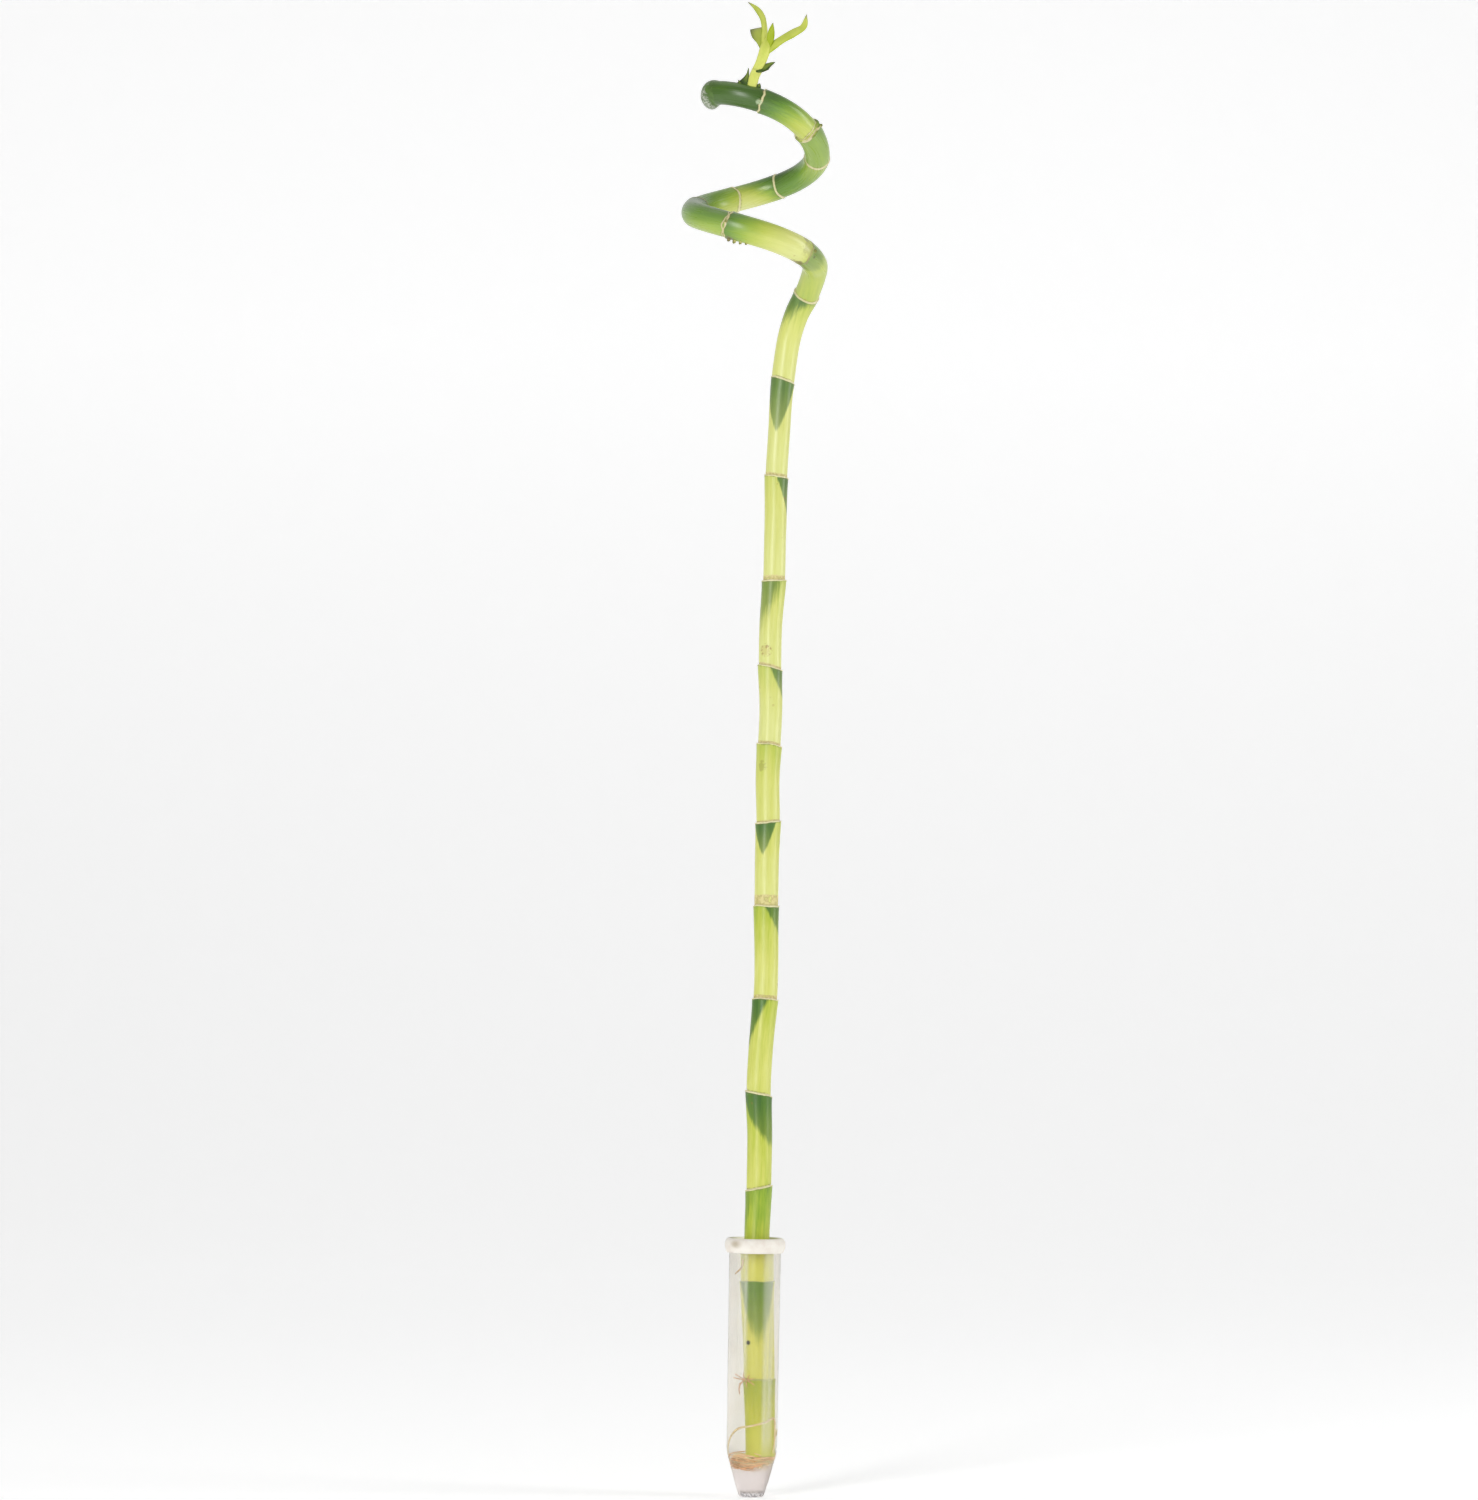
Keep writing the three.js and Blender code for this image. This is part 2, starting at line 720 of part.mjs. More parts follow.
// One strand of the root mat: it winds about the foot, from the core out to the wall and round it
function matStrand(index, more) {
  const start = (2 * Math.PI * index) / MAT.strands;
  const way = index % 2 ? 1 : -1;
  const points = [0, 0.25, 0.5, 0.75, 1].map((share) => {
    const angle = start + way * share * (MAT.wind + chance(index));
    const height = MAT.low + (MAT.high - MAT.low) * chance(index * 5 + 1 + share * 3);
    const wall = tubeInside(height) - MAT.wall_gap - MAT.wander * chance(index * 7 + share);
    const reach = share === 0 ? MAT.start : wall;
    const [x, y] = [MAT.x * (1 - share), MAT.y * (1 - share)];
    return [x + reach * Math.cos(angle), y + reach * Math.sin(angle), height];
  });
  return rod(points, [ROOT.radius, ROOT.radius, ROOT.tip], ROOT.sides, ROOT.steps, more);
}

// The core of the root mat, thickened all over by more
function matCore(more) {
  const last = MAT_CORE.length - 1;
  const grown = MAT_CORE.map(([radius, height], i) => [radius + more, height + more * (1 - (2 * i) / last)]);
  const profile = [[0, grown[0][1]], ...grown, [0, grown[last][1]]];
  return solid(turned(profile)).translate([MAT.x, MAT.y, 0]);
}

function footRoots(more = 0) {
  const strands = Array.from({ length: MAT.strands }, (_, i) => matStrand(i, more));
  const long = LONG_ROOTS.map((points) => {
    const steps = Math.round(points.length * ROOT.spacing);
    return rod(points, [ROOT.radius, ROOT.radius, ROOT.tip], ROOT.sides, steps, more);
  });
  return joined([matCore(more), ...strands, ...long]);
}

function nodeRoots(more = 0) {
  const radii = [ROOT.radius, ROOT.tip];
  const strands = NODE_ROOTS.map((points) => rod(points, radii, ROOT.sides, SHORT_ROOT_STEPS, more));
  return joined([rod(ROOT_PAD.points, ROOT_PAD.radii, ROOT.sides, 4, more), ...strands]);
}

function upperRoot(more = 0) {
  return rod(UPPER_ROOT.points, UPPER_ROOT.radii, ROOT.sides, 8, more);
}

// The room that the cane's lower part takes up, to above the cap
function caneHole() {
  return caneStretch(0, CAP.top, GAP);
}

// The water fills the tube, with a plain hole for the cane and room for the roots
function water() {
  const profile = [[0, TUBE.floor + GAP], ...insideProfile(WATER_TOP, GAP), [0, WATER_TOP]];
  const rooms = [caneHole(), footRoots(GAP), nodeRoots(GAP), upperRoot(GAP)];
  return solid(turned(profile)).subtract(joined(rooms));
}

function material(color, roughness, opacity = 1) {
  const transparent = opacity < 1;
  return new THREE.MeshStandardMaterial({ color, roughness, metalness: 0, opacity, transparent });
}

const group = new THREE.Group();

function place(name, made, look) {
  const mesh = new THREE.Mesh(geometryOf(made), look);
  mesh.name = name;
  group.add(mesh);
}

const scaleLook = material(COLOURS.scale, 0.6);
const rootLook = material(COLOURS.root, 0.6);
place('cane', cane(), material(COLOURS.cane, 0.35));
place('wax_seal', waxSeal(), material(COLOURS.wax, 0.4));
place('leafy_shoot', leafyShoot(), material(COLOURS.shoot, 0.45));
place('scale_left', scaleLeaf('left'), scaleLook);
place('scale_right', scaleLeaf('right'), scaleLook);
place('scale_front', scaleLeaf('front'), scaleLook);
place('roots_foot', footRoots().subtract(caneHole()), rootLook);
place('roots_node', nodeRoots().subtract(caneHole()), rootLook);
place('root_upper', upperRoot().subtract(caneHole()), rootLook);
place('water', water(), material(COLOURS.water, 0.05, SEE_THROUGH));
place('tube', tube(), material(COLOURS.tube, 0.08, SEE_THROUGH));
place('cap', cap(), material(COLOURS.cap, 0.45));

export default group;
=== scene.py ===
import math

import bpy
import numpy as np
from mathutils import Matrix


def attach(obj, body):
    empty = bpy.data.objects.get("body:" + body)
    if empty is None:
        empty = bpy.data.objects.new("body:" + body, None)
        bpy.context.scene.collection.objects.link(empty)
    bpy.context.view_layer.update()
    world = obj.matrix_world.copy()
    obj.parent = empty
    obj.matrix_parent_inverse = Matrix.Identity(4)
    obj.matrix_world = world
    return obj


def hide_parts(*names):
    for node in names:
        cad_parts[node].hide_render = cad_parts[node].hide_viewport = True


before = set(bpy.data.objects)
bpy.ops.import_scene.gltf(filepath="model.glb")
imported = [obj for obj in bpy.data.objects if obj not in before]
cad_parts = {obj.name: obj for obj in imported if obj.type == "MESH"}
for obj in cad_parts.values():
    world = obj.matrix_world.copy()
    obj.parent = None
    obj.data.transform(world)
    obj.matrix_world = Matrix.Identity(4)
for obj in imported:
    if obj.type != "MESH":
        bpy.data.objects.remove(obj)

bl_info = {
    "name": "Spiral Lucky Bamboo",
    "version": (1, 0, 0),
    "blender": (4, 5, 0),
    "location": "View3D > Sidebar > Bamboo",
    "description": "Dresses a spiral lucky bamboo that stands in a small clear tube of water",
    "category": "Object",
}

# Tables below are in millimetres, with +Z up and the viewer at -Y. Meshes are made in metres.
MM = 0.001
BODY = "root"
TO_VIEWER = np.array([[0, -1, 0]])
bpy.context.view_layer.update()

# Straight part of the cane, each node from the foot up: place, sideways bow of the internode above, lean
# of the ring to the right in degrees, and radius of the internode above
FOOT = (3.2, -1.4, 18)
FOOT_RADIUS = 5.2
STRAIGHT_NODES = [
    # x, y, z, bow, lean, radius
    (2.2, -1.1, 51.4, 0.1, 0, 5.3),
    (0.8, -0.35, 94, -0.3, 0, 5.45),
    (1.2, 0.9, 134.5, 0.4, -13, 5.4),
    (0.4, 2.5, 175.5, -0.4, 13, 5.3),
    (2.6, 4.2, 216.8, 0.25, 0, 5.2),
    (2.4, 5.8, 257.3, -0.15, 0, 5.2),
    (2.55, 7.3, 293.9, -0.4, -5, 5.15),
    (2.5, 8.6, 327.9, 0.55, 7, 4.95),
    (2.3, 10.0, 361.8, -0.4, 13, 4.95),
    (3.35, 11.5, 399.7, 0.15, -5, 4.8),
    (3.7, 13.3, 445.4, -0.2, 7, 4.8),
    (5.9, 14.8, 488.1, 0, 13, 5.1),
]
BEND = [(8.2, 14.2, 505.9), (11.4, 11.4, 516.4)]
BEND_NODE = (15.6, 6.6, 524.6)
BEND_RADIUS = 5.4

# Coil: centre and height of its start, radius, climb in a turn, sag in the first half turn and lift in
# the third. Nodes are (angle, radius). It is cut at an angle, and the centreline runs on a little.
COIL_CENTRE = (-7.4, -6.5, 534.1)
COIL_RADIUS = 26.4
PITCH = 49
SAG = 1
LIFT = 7.2
LIFT_POWER = 1.1
COIL_NODES = [
    (38.4, 5.75), (113.7, 5.6), (195, 5.5), (249.8, 5.4),
    (293.2, 5.4), (357, 5.35), (394.3, 5.2), (446.5, 5.05),
]
CUT_ANGLE = 498
ROUTE_END_ANGLE = 515
COIL_STEP = 15
BEYOND_CUT = 20

# Flare under each node, with none at the cut end, the ring that ends it and the groove over that
FLARES = np.array([0.5] * 12 + [0.7] + [0.25] * 6 + [0.8, 0.25, 0])
FLARE_LENGTH = 9
RING_RELIEF = 0.14
RING_HEIGHT = 0.5
GROOVE_DEPTH = 0.1
GROOVE_LENGTH = 0.7

# How far the lean of a ring reaches, how much rings wave and how far, and how much the skin swells
LEAN_REACH = 7
RING_WAVE = 0.16
WAVE_REACH = 3
ROUND_SWELL = 0.05
LONG_SWELL = 0.04

# Faces of the cane: sides, length of a step, and where more rows stand about a node
CANE_SIDES = 80
CANE_STEP = 0.9
NEAR_NODE = (-1.6, -1.2, -0.85, -0.6, -0.45, -0.3, -0.15, 0, 0.12, 0.25, 0.4, 0.6, 0.9, 1.3)

# Looks of each internode, named by the node that ends it, from the foot up: tone at its foot and top
# (0 pale, 1 deep green), then the dark mark under the node: direction (degrees, 0 to the viewer and 90 to
# the right, or on the coil 0 outwards and 90 up), depth, half width in degrees, roundness, softness and
# strength, and last the share of whitish bloom on the skin, which is partly a painted sheen.
INTERNODES = [
    (0.5, 0.72, 0, 14, 150, 1.3, 5, 0.2, 0),
    (0.26, 0.42, 3, 25.8, 86, 1.75, 5.5, 0.95, 0),
    (0.38, 0.62, -95, 24, 80, 1.3, 7, 0.35, 0),
    (0.28, 0.55, 76, 23, 176, 1.7, 2.4, 1, 0),
    (0.22, 0.44, -98, 24, 112, 1.3, 3, 1, 0.04),
    (0.14, 0.5, 88, 14, 98, 1.3, 1.6, 0.9, 0.05),
    (0.06, 0.36, -22, 14.5, 62, 1.3, 1.2, 1, 0.12),
    (0.14, 0.42, 180, 10, 60, 1.3, 2, 0.8, 0.14),
    (0.02, 0.4, 88, 15, 92, 1.3, 1.6, 0.9, 0.22),
    (0.06, 0.4, -65, 21, 110, 1.3, 8, 0.75, 0.18),
    (0.05, 0.32, 90, 18, 90, 1.3, 1.2, 0.95, 0.2),
    (0.06, 0.3, -14, 23.5, 98, 1.3, 1.6, 0.95, 0.24),
    (0.07, 0.5, -80, 18, 110, 1.3, 7, 0.95, 0.2),
    (0.46, 0.56, 0, 9, 10000, 1.3, 2.4, 0.65, 0.25),
    (0.1, 0.88, 0, 10, 10000, 1.3, 9, 0.1, 0.12),
    (0.68, 0.84, 40, 9, 200, 1.3, 8, 0.3, 0.18),
    (0.66, 0.44, 60, 6, 200, 1.3, 5, 0.2, 0.14),
    (0.28, 0.9, 90, 28, 120, 1.3, 12, 0.6, 0.12),
    (0.94, 0.66, 90, 12, 160, 1.3, 8, 0.2, 0.1),
    (0.68, 0.7, 90, 8, 180, 1.3, 6, 0.2, 0.22),
    (0.45, 1.1, 60, 14, 300, 1.3, 10, 0.5, 0.12),
]
END_LOOK = (1, 1.04, 0, 0, 90, 1.3, 1, 0, 0.06)
TONE_POWER = 1.7

# Painted shade: how much deeper the coil's upper side is painted, against the light from above, and where
# it is more or less, and a deeper start of one internode with the length that it dies away over
COIL_PAINTED_SHADE = 0.08
UPPER_PAINTED_SHADE = {15: 0.22, 16: 0.26, 17: 0.28, 18: 0.2, 20: 0.16, 21: -0.05}
FOOT_DEEPER = {14: 0.42}
FOOT_FADE = 2.6
UNDER_WATER_PALER = 0.2
WATER_FADE = 4

# Length that the coil's looks come in over, and a painted sheen: more whitish bloom on its palest skin in
# place of broad gloss highlights: how much, and the tone that it ends at
COIL_FADE = 30
COIL_PAINTED_SHEEN = 0.35
PAINTED_SHEEN_BELOW = 0.55

# Rings, by node number where they aren't usual: height of the corky band over one, half width, how cream
# rather than brown, and how far a second, fainter line lies over the first. A ring lies just below its node.
CORK = {5: 1.6, 6: 5, 7: 0.8, 8: 1.2, 9: 1, 10: 2.2, 11: 1.4, 15: 0.4, 20: 0.4}
RING_HALF_WIDTH = 0.42
ODD_RINGS = {2: 0.15, 14: 0.26, 15: 0.34, 16: 0.22, 17: 0.6, 18: 0.46, 19: 0.48, 20: 0.34, 21: 0.36}
RING_CREAM = {14: 0.2, 15: 0.7, 16: 0.35, 20: 0.9, 21: 0.85}
SECOND_RINGS = {15: 0.75, 20: 1.3}
SECOND_FAINTER = 0.25
RING_BELOW = 0.12
CORK_EDGE = 0.3

# How far a ring strays along the cane, to either side, on the straight part and on the coil, and how
# jagged it is, more so where it is torn
STRAIGHT_STRAY = 0.1
COIL_STRAY = 0.4
USUAL_JAGGED = 0.04
JAGGED = {14: 0.3, 15: 0.24, 17: 0.1, 20: 0.14, 21: 0.22}

# How many times longer than wide the streaks in the skin are
GRAIN_STRETCH = 14

# Where the water's top and the start of the coil lie, and a spot with small brown scars, in metres
WATER_LINE = (0.1075, 0.1055)
COIL_START = (0.49, 0.54)
FRECKLED_SPOT = (0.0004, 0.0059, 0.369)
# Stains on the cane: place in metres, reach in metres, how ragged, how strong, and colour
STAINS = [
    ((-0.0022, -0.0047, 0.0674), 0.0014, 0.1, 1, (44, 46, 20)),
    ((-0.0002, 0.0034, 0.3184), 0.0024, 1.8, 0.5, (158, 156, 74)),
    ((0, 0.0059, 0.3688), 0.0023, 1.3, 0.3, (190, 160, 92)),
    ((0.0114, -0.0252, 0.5339), 0.0024, 1, 0.8, (104, 84, 58)),
    ((0.0129, -0.0187, 0.5332), 0.002, 1, 0.7, (104, 84, 58)),
    ((0.0093, -0.0266, 0.5345), 0.0018, 0.9, 0.5, (120, 96, 66)),
    ((0.0158, -0.0275, 0.5392), 0.0044, 1, 0.55, (168, 168, 98)),
    ((0.0148, -0.0278, 0.5436), 0.0018, 0.9, 0.6, (140, 132, 88)),
    ((0.0182, -0.0246, 0.5365), 0.001, 0.4, 0.7, (96, 98, 52)),
    ((-0.0182, -0.0326, 0.5429), 0.0022, 0.9, 0.7, (110, 88, 60)),
    ((-0.0064, -0.0377, 0.6005), 0.0017, 0.7, 0.75, (182, 200, 160)),
]

# Nubs and buds on the cane: length run past a node, direction in degrees about the cane, height, radius
NUBS = [
    (15, -1.6, -82, 1.1, 0.75), (15, -4.2, -84, 1.4, 0.8), (15, -6.9, -82, 1.2, 0.7),
    (15, -9.4, -80, 0.8, 0.6), (15, -0.4, 10, 0.5, 0.7), (20, -0.9, 25, 0.9, 0.8),
    (14, -1.2, 5, 0.5, 0.9), (21, 0.6, -12, 0.5, 0.8),
]
NUB_STEPS = 14

# Wax: it covers a thinner neck of the cane with a gap, its underside bulges into a drip, and it is lumpy.
# Its profile is (ahead of its start, more than its radius, sunk by).
WAX_LENGTH = 4.2
WAX_RADIUS = 5.55
WAX_NECK = 4.7
WAX_GAP = 0.15
WAX_DRIP = 1.2
DRIP_REACH = 5.9
WAX_LUMPS = 0.06
WAX_LUMP_TURN = 3.1995
WAX_SIDES = 96
WAX_PROFILE = [
    (-1.6, -0.6, 0), (-0.4, -0.42, 0), (0.8, -0.25, 0), (1.8, -0.05, 0.08), (3, 0.03, 0.25), (3.8, 0, 0.45),
    (4.6, -0.25, 0.85), (5.1, -0.8, 1.1), (5.5, -1.6, 1.3), (5.8, -2.9, 1.4), (5.95, -4.4, 1.45),
]

# Shoot: points are (right, up, back, half width) from its foot. Its stem has scars at shares of its length,
# each with how far it stands out.
SHOOT_ANGLE = 457.5
SHOOT_LIFT = 1
STEM = [
    (-0.2, -2.4, 0, 2.2), (0.8, 2.6, 0, 2.2), (2.1, 5.7, 0, 2.2), (3.4, 8.7, 0, 2.15), (4.5, 11.7, 0, 2.3),
    (5.4, 14.7, 0, 2.4), (6, 17.2, 0, 1.9), (6.4, 19.6, 0, 0.9), (6.6, 21, 0, 0.2),
]
STEM_STEPS = 60
STEM_SIDES = 40
STEM_SCARS = [(0.33, 0.09), (0.55, 0.06)]
SCAR_LENGTH = 0.012

# Thickness of a blade. Each leaf has points, the way its face looks and the depth of its channel, how rich
# its green is at its base and tip, and how greyed it is all over, towards its tip, and there off its edge.
# Each scale is made of one or more blades, with the first three of these.
BLADE = 0.7
EDGE_RIPPLE = 0.12
RIB_GROOVE = 0.1
BLADE_SIDES = 26
LEAF_STEPS = 64
SCALE_STEPS = 48
LEAVES = {
    "tall": (
        [(5.2, 14.5, 0.6, 1.6), (5.1, 19.2, 0.5, 1.45), (5.1, 24.2, 1.2, 1.35), (4, 29, 1.7, 1.6),
         (1.4, 32.6, 1.6, 1.25), (-2.3, 35, 1, 0.15)],
        (0.45, 0.2, -0.85), 0.35, (0.1, 0.55), (0, 0.5, 0)),
    "right": (
        [(5.8, 13.6, -0.4, 1.8), (8.9, 16.3, -1, 2.1), (13.2, 19.3, -1.8, 2.2), (17.5, 21.7, -2.2, 2.15),
         (21.4, 24.3, -2.2, 1.8), (22.9, 29.6, -1.8, 0.15)],
        (-0.3, 0.42, -0.86), 0.3, (0.6, 0.3), (0, 0, 0)),
    "centre": (
        [(6.6, 14.6, -0.8, 0.9), (7.5, 18.4, -1.7, 1.5), (7.9, 22, -2.2, 1.4), (8.5, 25.7, -2.3, 0.15)],
        (0, 0.1, -1), 0.3, (0.95, 0.9), (0, 0, 0)),
    "left": (
        [(4.6, 14.6, 0.9, 1.2), (3.1, 18.5, 1.6, 1.7), (1.7, 21.6, 2, 2.6), (1.3, 24, 2.1, 2.8)],
        (-0.25, -0.1, -1), 0.2, (0.75, 0.5), (0.25, 0.7, 0.3)),
}
SCALES = {
    "scale_left": [
        ([(-3.9, -1.2, 0, 3.2), (-3, 1, -0.1, 1.7), (-2, 3.4, -0.1, 0.75), (-1.6, 6.6, 0, 0.12)],
         (-0.2, 0, -1), -0.35),
        ([(-4.2, -1.6, -0.4, 1), (-5.1, -0.2, -0.4, 0.7), (-6, 1.4, -0.4, 0.12)], (-0.2, 0, -1), -0.2),
    ],
    "scale_right": [
        ([(1.6, 4.9, -2.1, 0.5), (3, 5, -2.3, 0.8), (4.4, 5.8, -1.3, 1.5), (5.6, 6.9, -0.8, 1.8),
          (7.6, 8.3, -0.6, 1.15), (9.7, 9.2, -0.4, 0.12)], (-0.25, 0.4, -0.88), 0.3),
    ],
    "scale_front": [
        ([(2.7, -2.1, -0.6, 1.1), (3, -1, -0.7, 0.9), (3.4, -0.1, -0.7, 0.15)], (0.2, 0.2, -1), -0.2),
    ],
}

# Tube, water and cap: profiles are (radius, height), and those with a pole start and end close to the
# axis. The water climbs at its edge and reaches a little into the wall, so that no air shows between them.
TUBE_OUTSIDE = [
    (4.5, 0), (5.1, 0.2), (5.55, 0.7), (5.85, 1.5), (6.2, 2.7), (7.2, 5.9), (8.65, 11.1), (9.9, 15.6),
    (10.65, 18.4), (11.05, 21.5), (11.07, 22.5), (11.15, 50), (11.25, 80), (11.34, 106.8), (11.35, 107.6),
    (11.35, 107.9),
]
TUBE_RIM = 108.2
RIM_HEIGHT = 0.3
TUBE_WALL = 1
TUBE_FLOOR = 1.8
CORNER = 0.25
POLE = 0.05
WATER_TOP = 107.2
MENISCUS = 0.5
MENISCUS_REACH = 1.5
WATER_OVER = 0.03
WATER_ROWS = 26
WATER_LEVELS = [22.5, 50, 80, 106.2, 106.9, WATER_TOP]
WATER_TOP_ROWS = 30
ROUND_SIDES = 128
CAP_PROFILE = [
    (7.2, 108.5), (11.65, 108.5), (11.65, 106.2), (12, 106.2), (12.35, 106.5), (12.85, 107.5),
    (13.15, 108.6), (13.25, 109.6), (13.2, 110.5), (12.95, 111.4), (12.6, 112.05), (12.2, 112.45),
    (11.8, 112.62), (11.4, 112.6), (11.15, 112.4), (10.95, 111.8), (10.8, 110.6), (10.5, 110.15),
    (9.5, 110.1), (7.5, 110.05), (7.2, 109.8),
]

# Brown stain on the cap: it is flatter than round, and its place is in metres with the height stretched
STAIN_STRETCH = 1.7
CAP_STAIN = (-0.0086, -0.01, 0.1103 * STAIN_STRETCH)

# Roots: points are (x, y, height). The core of the tangle is a profile of (radius, height), and its mat's
# strands lie between two heights, mostly about a middle one, from an inner radius out to the wall.
ROOT_RADIUS = 0.46
CORE_SIDES = 48
CORE_LUMPS = 0.35
CORE_SHIFT = 0.6
ROOT_CORE = [(0.4, 17.6), (2, 17.5), (2.9, 17), (3.2, 15.8), (2.8, 14.4), (1.8, 13.4), (0.4, 13)]
LONG_ROOTS = [
    [(5.2, -2.2, 14.6), (8.4, -2.6, 21), (8.9, -2.4, 29), (8.6, -3.6, 34.4), (5.2, -7.6, 33),
     (0, -8.9, 31.6), (-5.6, -7.2, 30.2), (-8.6, -3.2, 25.8), (-8.4, 0.6, 19.6), (-5.4, 2.4, 14.4)],
    [(4.8, 3, 15), (6.6, 6, 20), (5.2, 7.8, 27), (1.2, 9.2, 33)],
]
NODE_ROOTS = [
    [(-2.4, -3.2, 51), (-4.6, -3.8, 52.2), (-6.8, -3.4, 53.6)],
    [(-2.4, -3.2, 51), (-4.8, -3.2, 51.4), (-7.4, -2.4, 52)],
    [(-2.4, -3.2, 51), (-3.8, -4.2, 50.4), (-5.4, -4.6, 49.2)],
    [(-2.2, -3.8, 51), (-2, -6.4, 52.4), (-1.2, -7, 53.6)],
    [(-2.2, -3.8, 51), (-1.4, -7, 51.6), (0.6, -7.5, 52)],
    [(-2.2, -3.8, 51), (-1.2, -7, 50.5), (0.8, -7.6, 49)],
    [(-2.4, -3.4, 51), (-3.6, -4.8, 52.8), (-3.6, -5.2, 54.4)],
    [(-2.2, -3.6, 51), (-2.6, -5.8, 49.8), (-2.2, -6.6, 48)],
    [(-2.4, -3.2, 51), (-4.2, -4, 50), (-5.2, -4.4, 47.6), (-5, -4.8, 44.8)],
]
UPPER_ROOT = [(-4.2, -2, 103.6), (-4.5, -3.6, 101.6), (-5.2, -4.2, 99.6), (-7.6, -3.6, 97)]
MAT_STRANDS = 56
MAT_LOW = 11.6
MAT_HIGH = 21.5
MAT_MIDDLE = 16.2
MAT_SPREAD = 4
MAT_INNER = 2.4
MAT_GAP = 0.55
MAT_POINTS = 9
MAT_SEED = 7
TINT_SEED = 90

# Stage, in metres: the backdrop's floor and wall with a round corner between, and what the lamps look at
FLOOR_START = -4
WALL_DEPTH = 2.4
WALL_HEIGHT = 4.5
CORNER_RADIUS = 0.8
HALF_WIDTH = 4.5
LAMP_AIM = 0.35

# Lamps: place, width, height and share of the soft light's power
LAMPS = {
    "right_light": ((1.75, -0.2, 0.9), 0.6, 1.4, 0.9),
    "front_light": ((-0.95, -1.85, 0.95), 0.55, 1.5, 1.55),
    "top_light": ((-0.2, 0.2, 2.3), 1.2, 1.2, 0.2),
}

# Camera: the photograph's frame in pixels, its distance and height, and where its axis meets the frame
FRAME_SIDE = 1500
FRAME_WIDTH = 1478
CAMERA_DISTANCE = 2.2
CAMERA_HEIGHT = 0.225
AXIS_X = 759.6
AXIS_Y = 979.8
ROLL = 0.95
SENSOR = 36
FAR = 50


def linear(red, green, blue):
    """Screen colour from 0 to 255 as linear light: the sRGB curve undone."""
    screen = np.array([red, green, blue]) / 255
    return tuple(np.where(screen < 0.04045, screen / 12.92, ((screen + 0.055) / 1.055) ** 2.4))


def curve_through(points, steps=24):
    """A smooth curve through points: on each stretch a cubic that starts and ends on two points, with end
    slopes that weigh the chords beside it by the square root of their lengths. Works in any dimension."""
    p = np.asarray(points, float)
    p = np.vstack([2 * p[0] - p[1], p, 2 * p[-1] - p[-2]])
    gap = np.sqrt(np.linalg.norm(np.diff(p, axis=0), axis=1))[:, None]
    before, own, after = gap[:-2], gap[1:-1], gap[2:]
    a, b, c, d = p[:-3], p[1:-2], p[2:-1], p[3:]
    leave = own * ((b - a) / before - (c - a) / (before + own) + (c - b) / own)
    arrive = own * ((c - b) / own - (d - b) / (own + after) + (d - c) / after)
    t = np.linspace(0, 1, steps, endpoint=False)[None, :, None]
    cubic = [b, leave, 3 * (c - b) - 2 * leave - arrive, 2 * (b - c) + leave + arrive]
    curve = sum(part[:, None, :] * t ** power for power, part in enumerate(cubic))
    return np.vstack([curve.reshape(-1, p.shape[1]), p[-2]])


def unit(vectors):
    return vectors / np.linalg.norm(vectors, axis=-1, keepdims=True)


class Route:
    """A curve with the length run along it. Columns past the third, such as a width, are carried along."""

    def __init__(self, points):
        self.samples = curve_through(points)
        chords = np.linalg.norm(np.diff(self.samples[:, :3], axis=0), axis=1)
        self.lengths = np.concatenate([[0], np.cumsum(chords)])
        self.slopes = unit(np.gradient(self.samples[:, :3], self.lengths, axis=0))

    def near(self, point):
        distances = np.linalg.norm(self.samples[:, :3] - np.asarray(point, float), axis=1)
        return self.lengths[np.argmin(distances)]

    def at(self, run):
        """Samples and slopes at lengths run: straight mixes between the curve's own samples."""
        samples = np.stack([np.interp(run, self.lengths, column) for column in self.samples.T], axis=1)
        slopes = np.stack([np.interp(run, self.lengths, column) for column in self.slopes.T], axis=1)
        return samples, unit(slopes)


def even_steps(points, steps):
    """Even shares of a curve's length, with the curve's samples and slopes there."""
    route = Route(points)
    share = np.linspace(0, 1, steps)
    return share, *route.at(share * route.lengths[-1])


def square_to(slopes, towards):
    """The part of a direction that is square to each slope, and the side direction that completes it."""
    out = unit(towards - np.sum(towards * slopes, axis=1, keepdims=True) * slopes)
    return out, np.cross(slopes, out)


def wrapped(degrees):
    return (degrees + 180) % 360 - 180


def fixed_chance(count, seed):
    """Repeatable numbers from 0 to 1."""
    return np.random.default_rng(seed).random(count)


def around(sides):
    """Even steps of one full turn, in radians."""
    return np.linspace(0, 2 * np.pi, sides, endpoint=False)


def quads_between(rows, sides, wrap):
    """Quads between neighbouring rows that each close on themselves, the last row joining the first in a
    wrapped grid."""
    row, side = np.meshgrid(np.arange(rows if wrap else rows - 1), np.arange(sides), indexing="ij")
    here, there, turn = row * sides, (row + 1) % rows * sides, (side + 1) % sides
    corners = [here + side, here + turn, there + turn, there + side]
    return np.stack([corner.ravel() for corner in corners], axis=1)


def looks_inwards(points, quads, fans=()):
    """Whether the faces look inwards: the volumes of the cones from the middle to them add up below 0."""
    thirds = np.vstack([quads[:, :3], quads[:, [0, 2, 3]], *fans])
    corners = points[thirds] - points.mean(0)
    return np.sum(corners[:, 0] * np.cross(corners[:, 1], corners[:, 2])) < 0


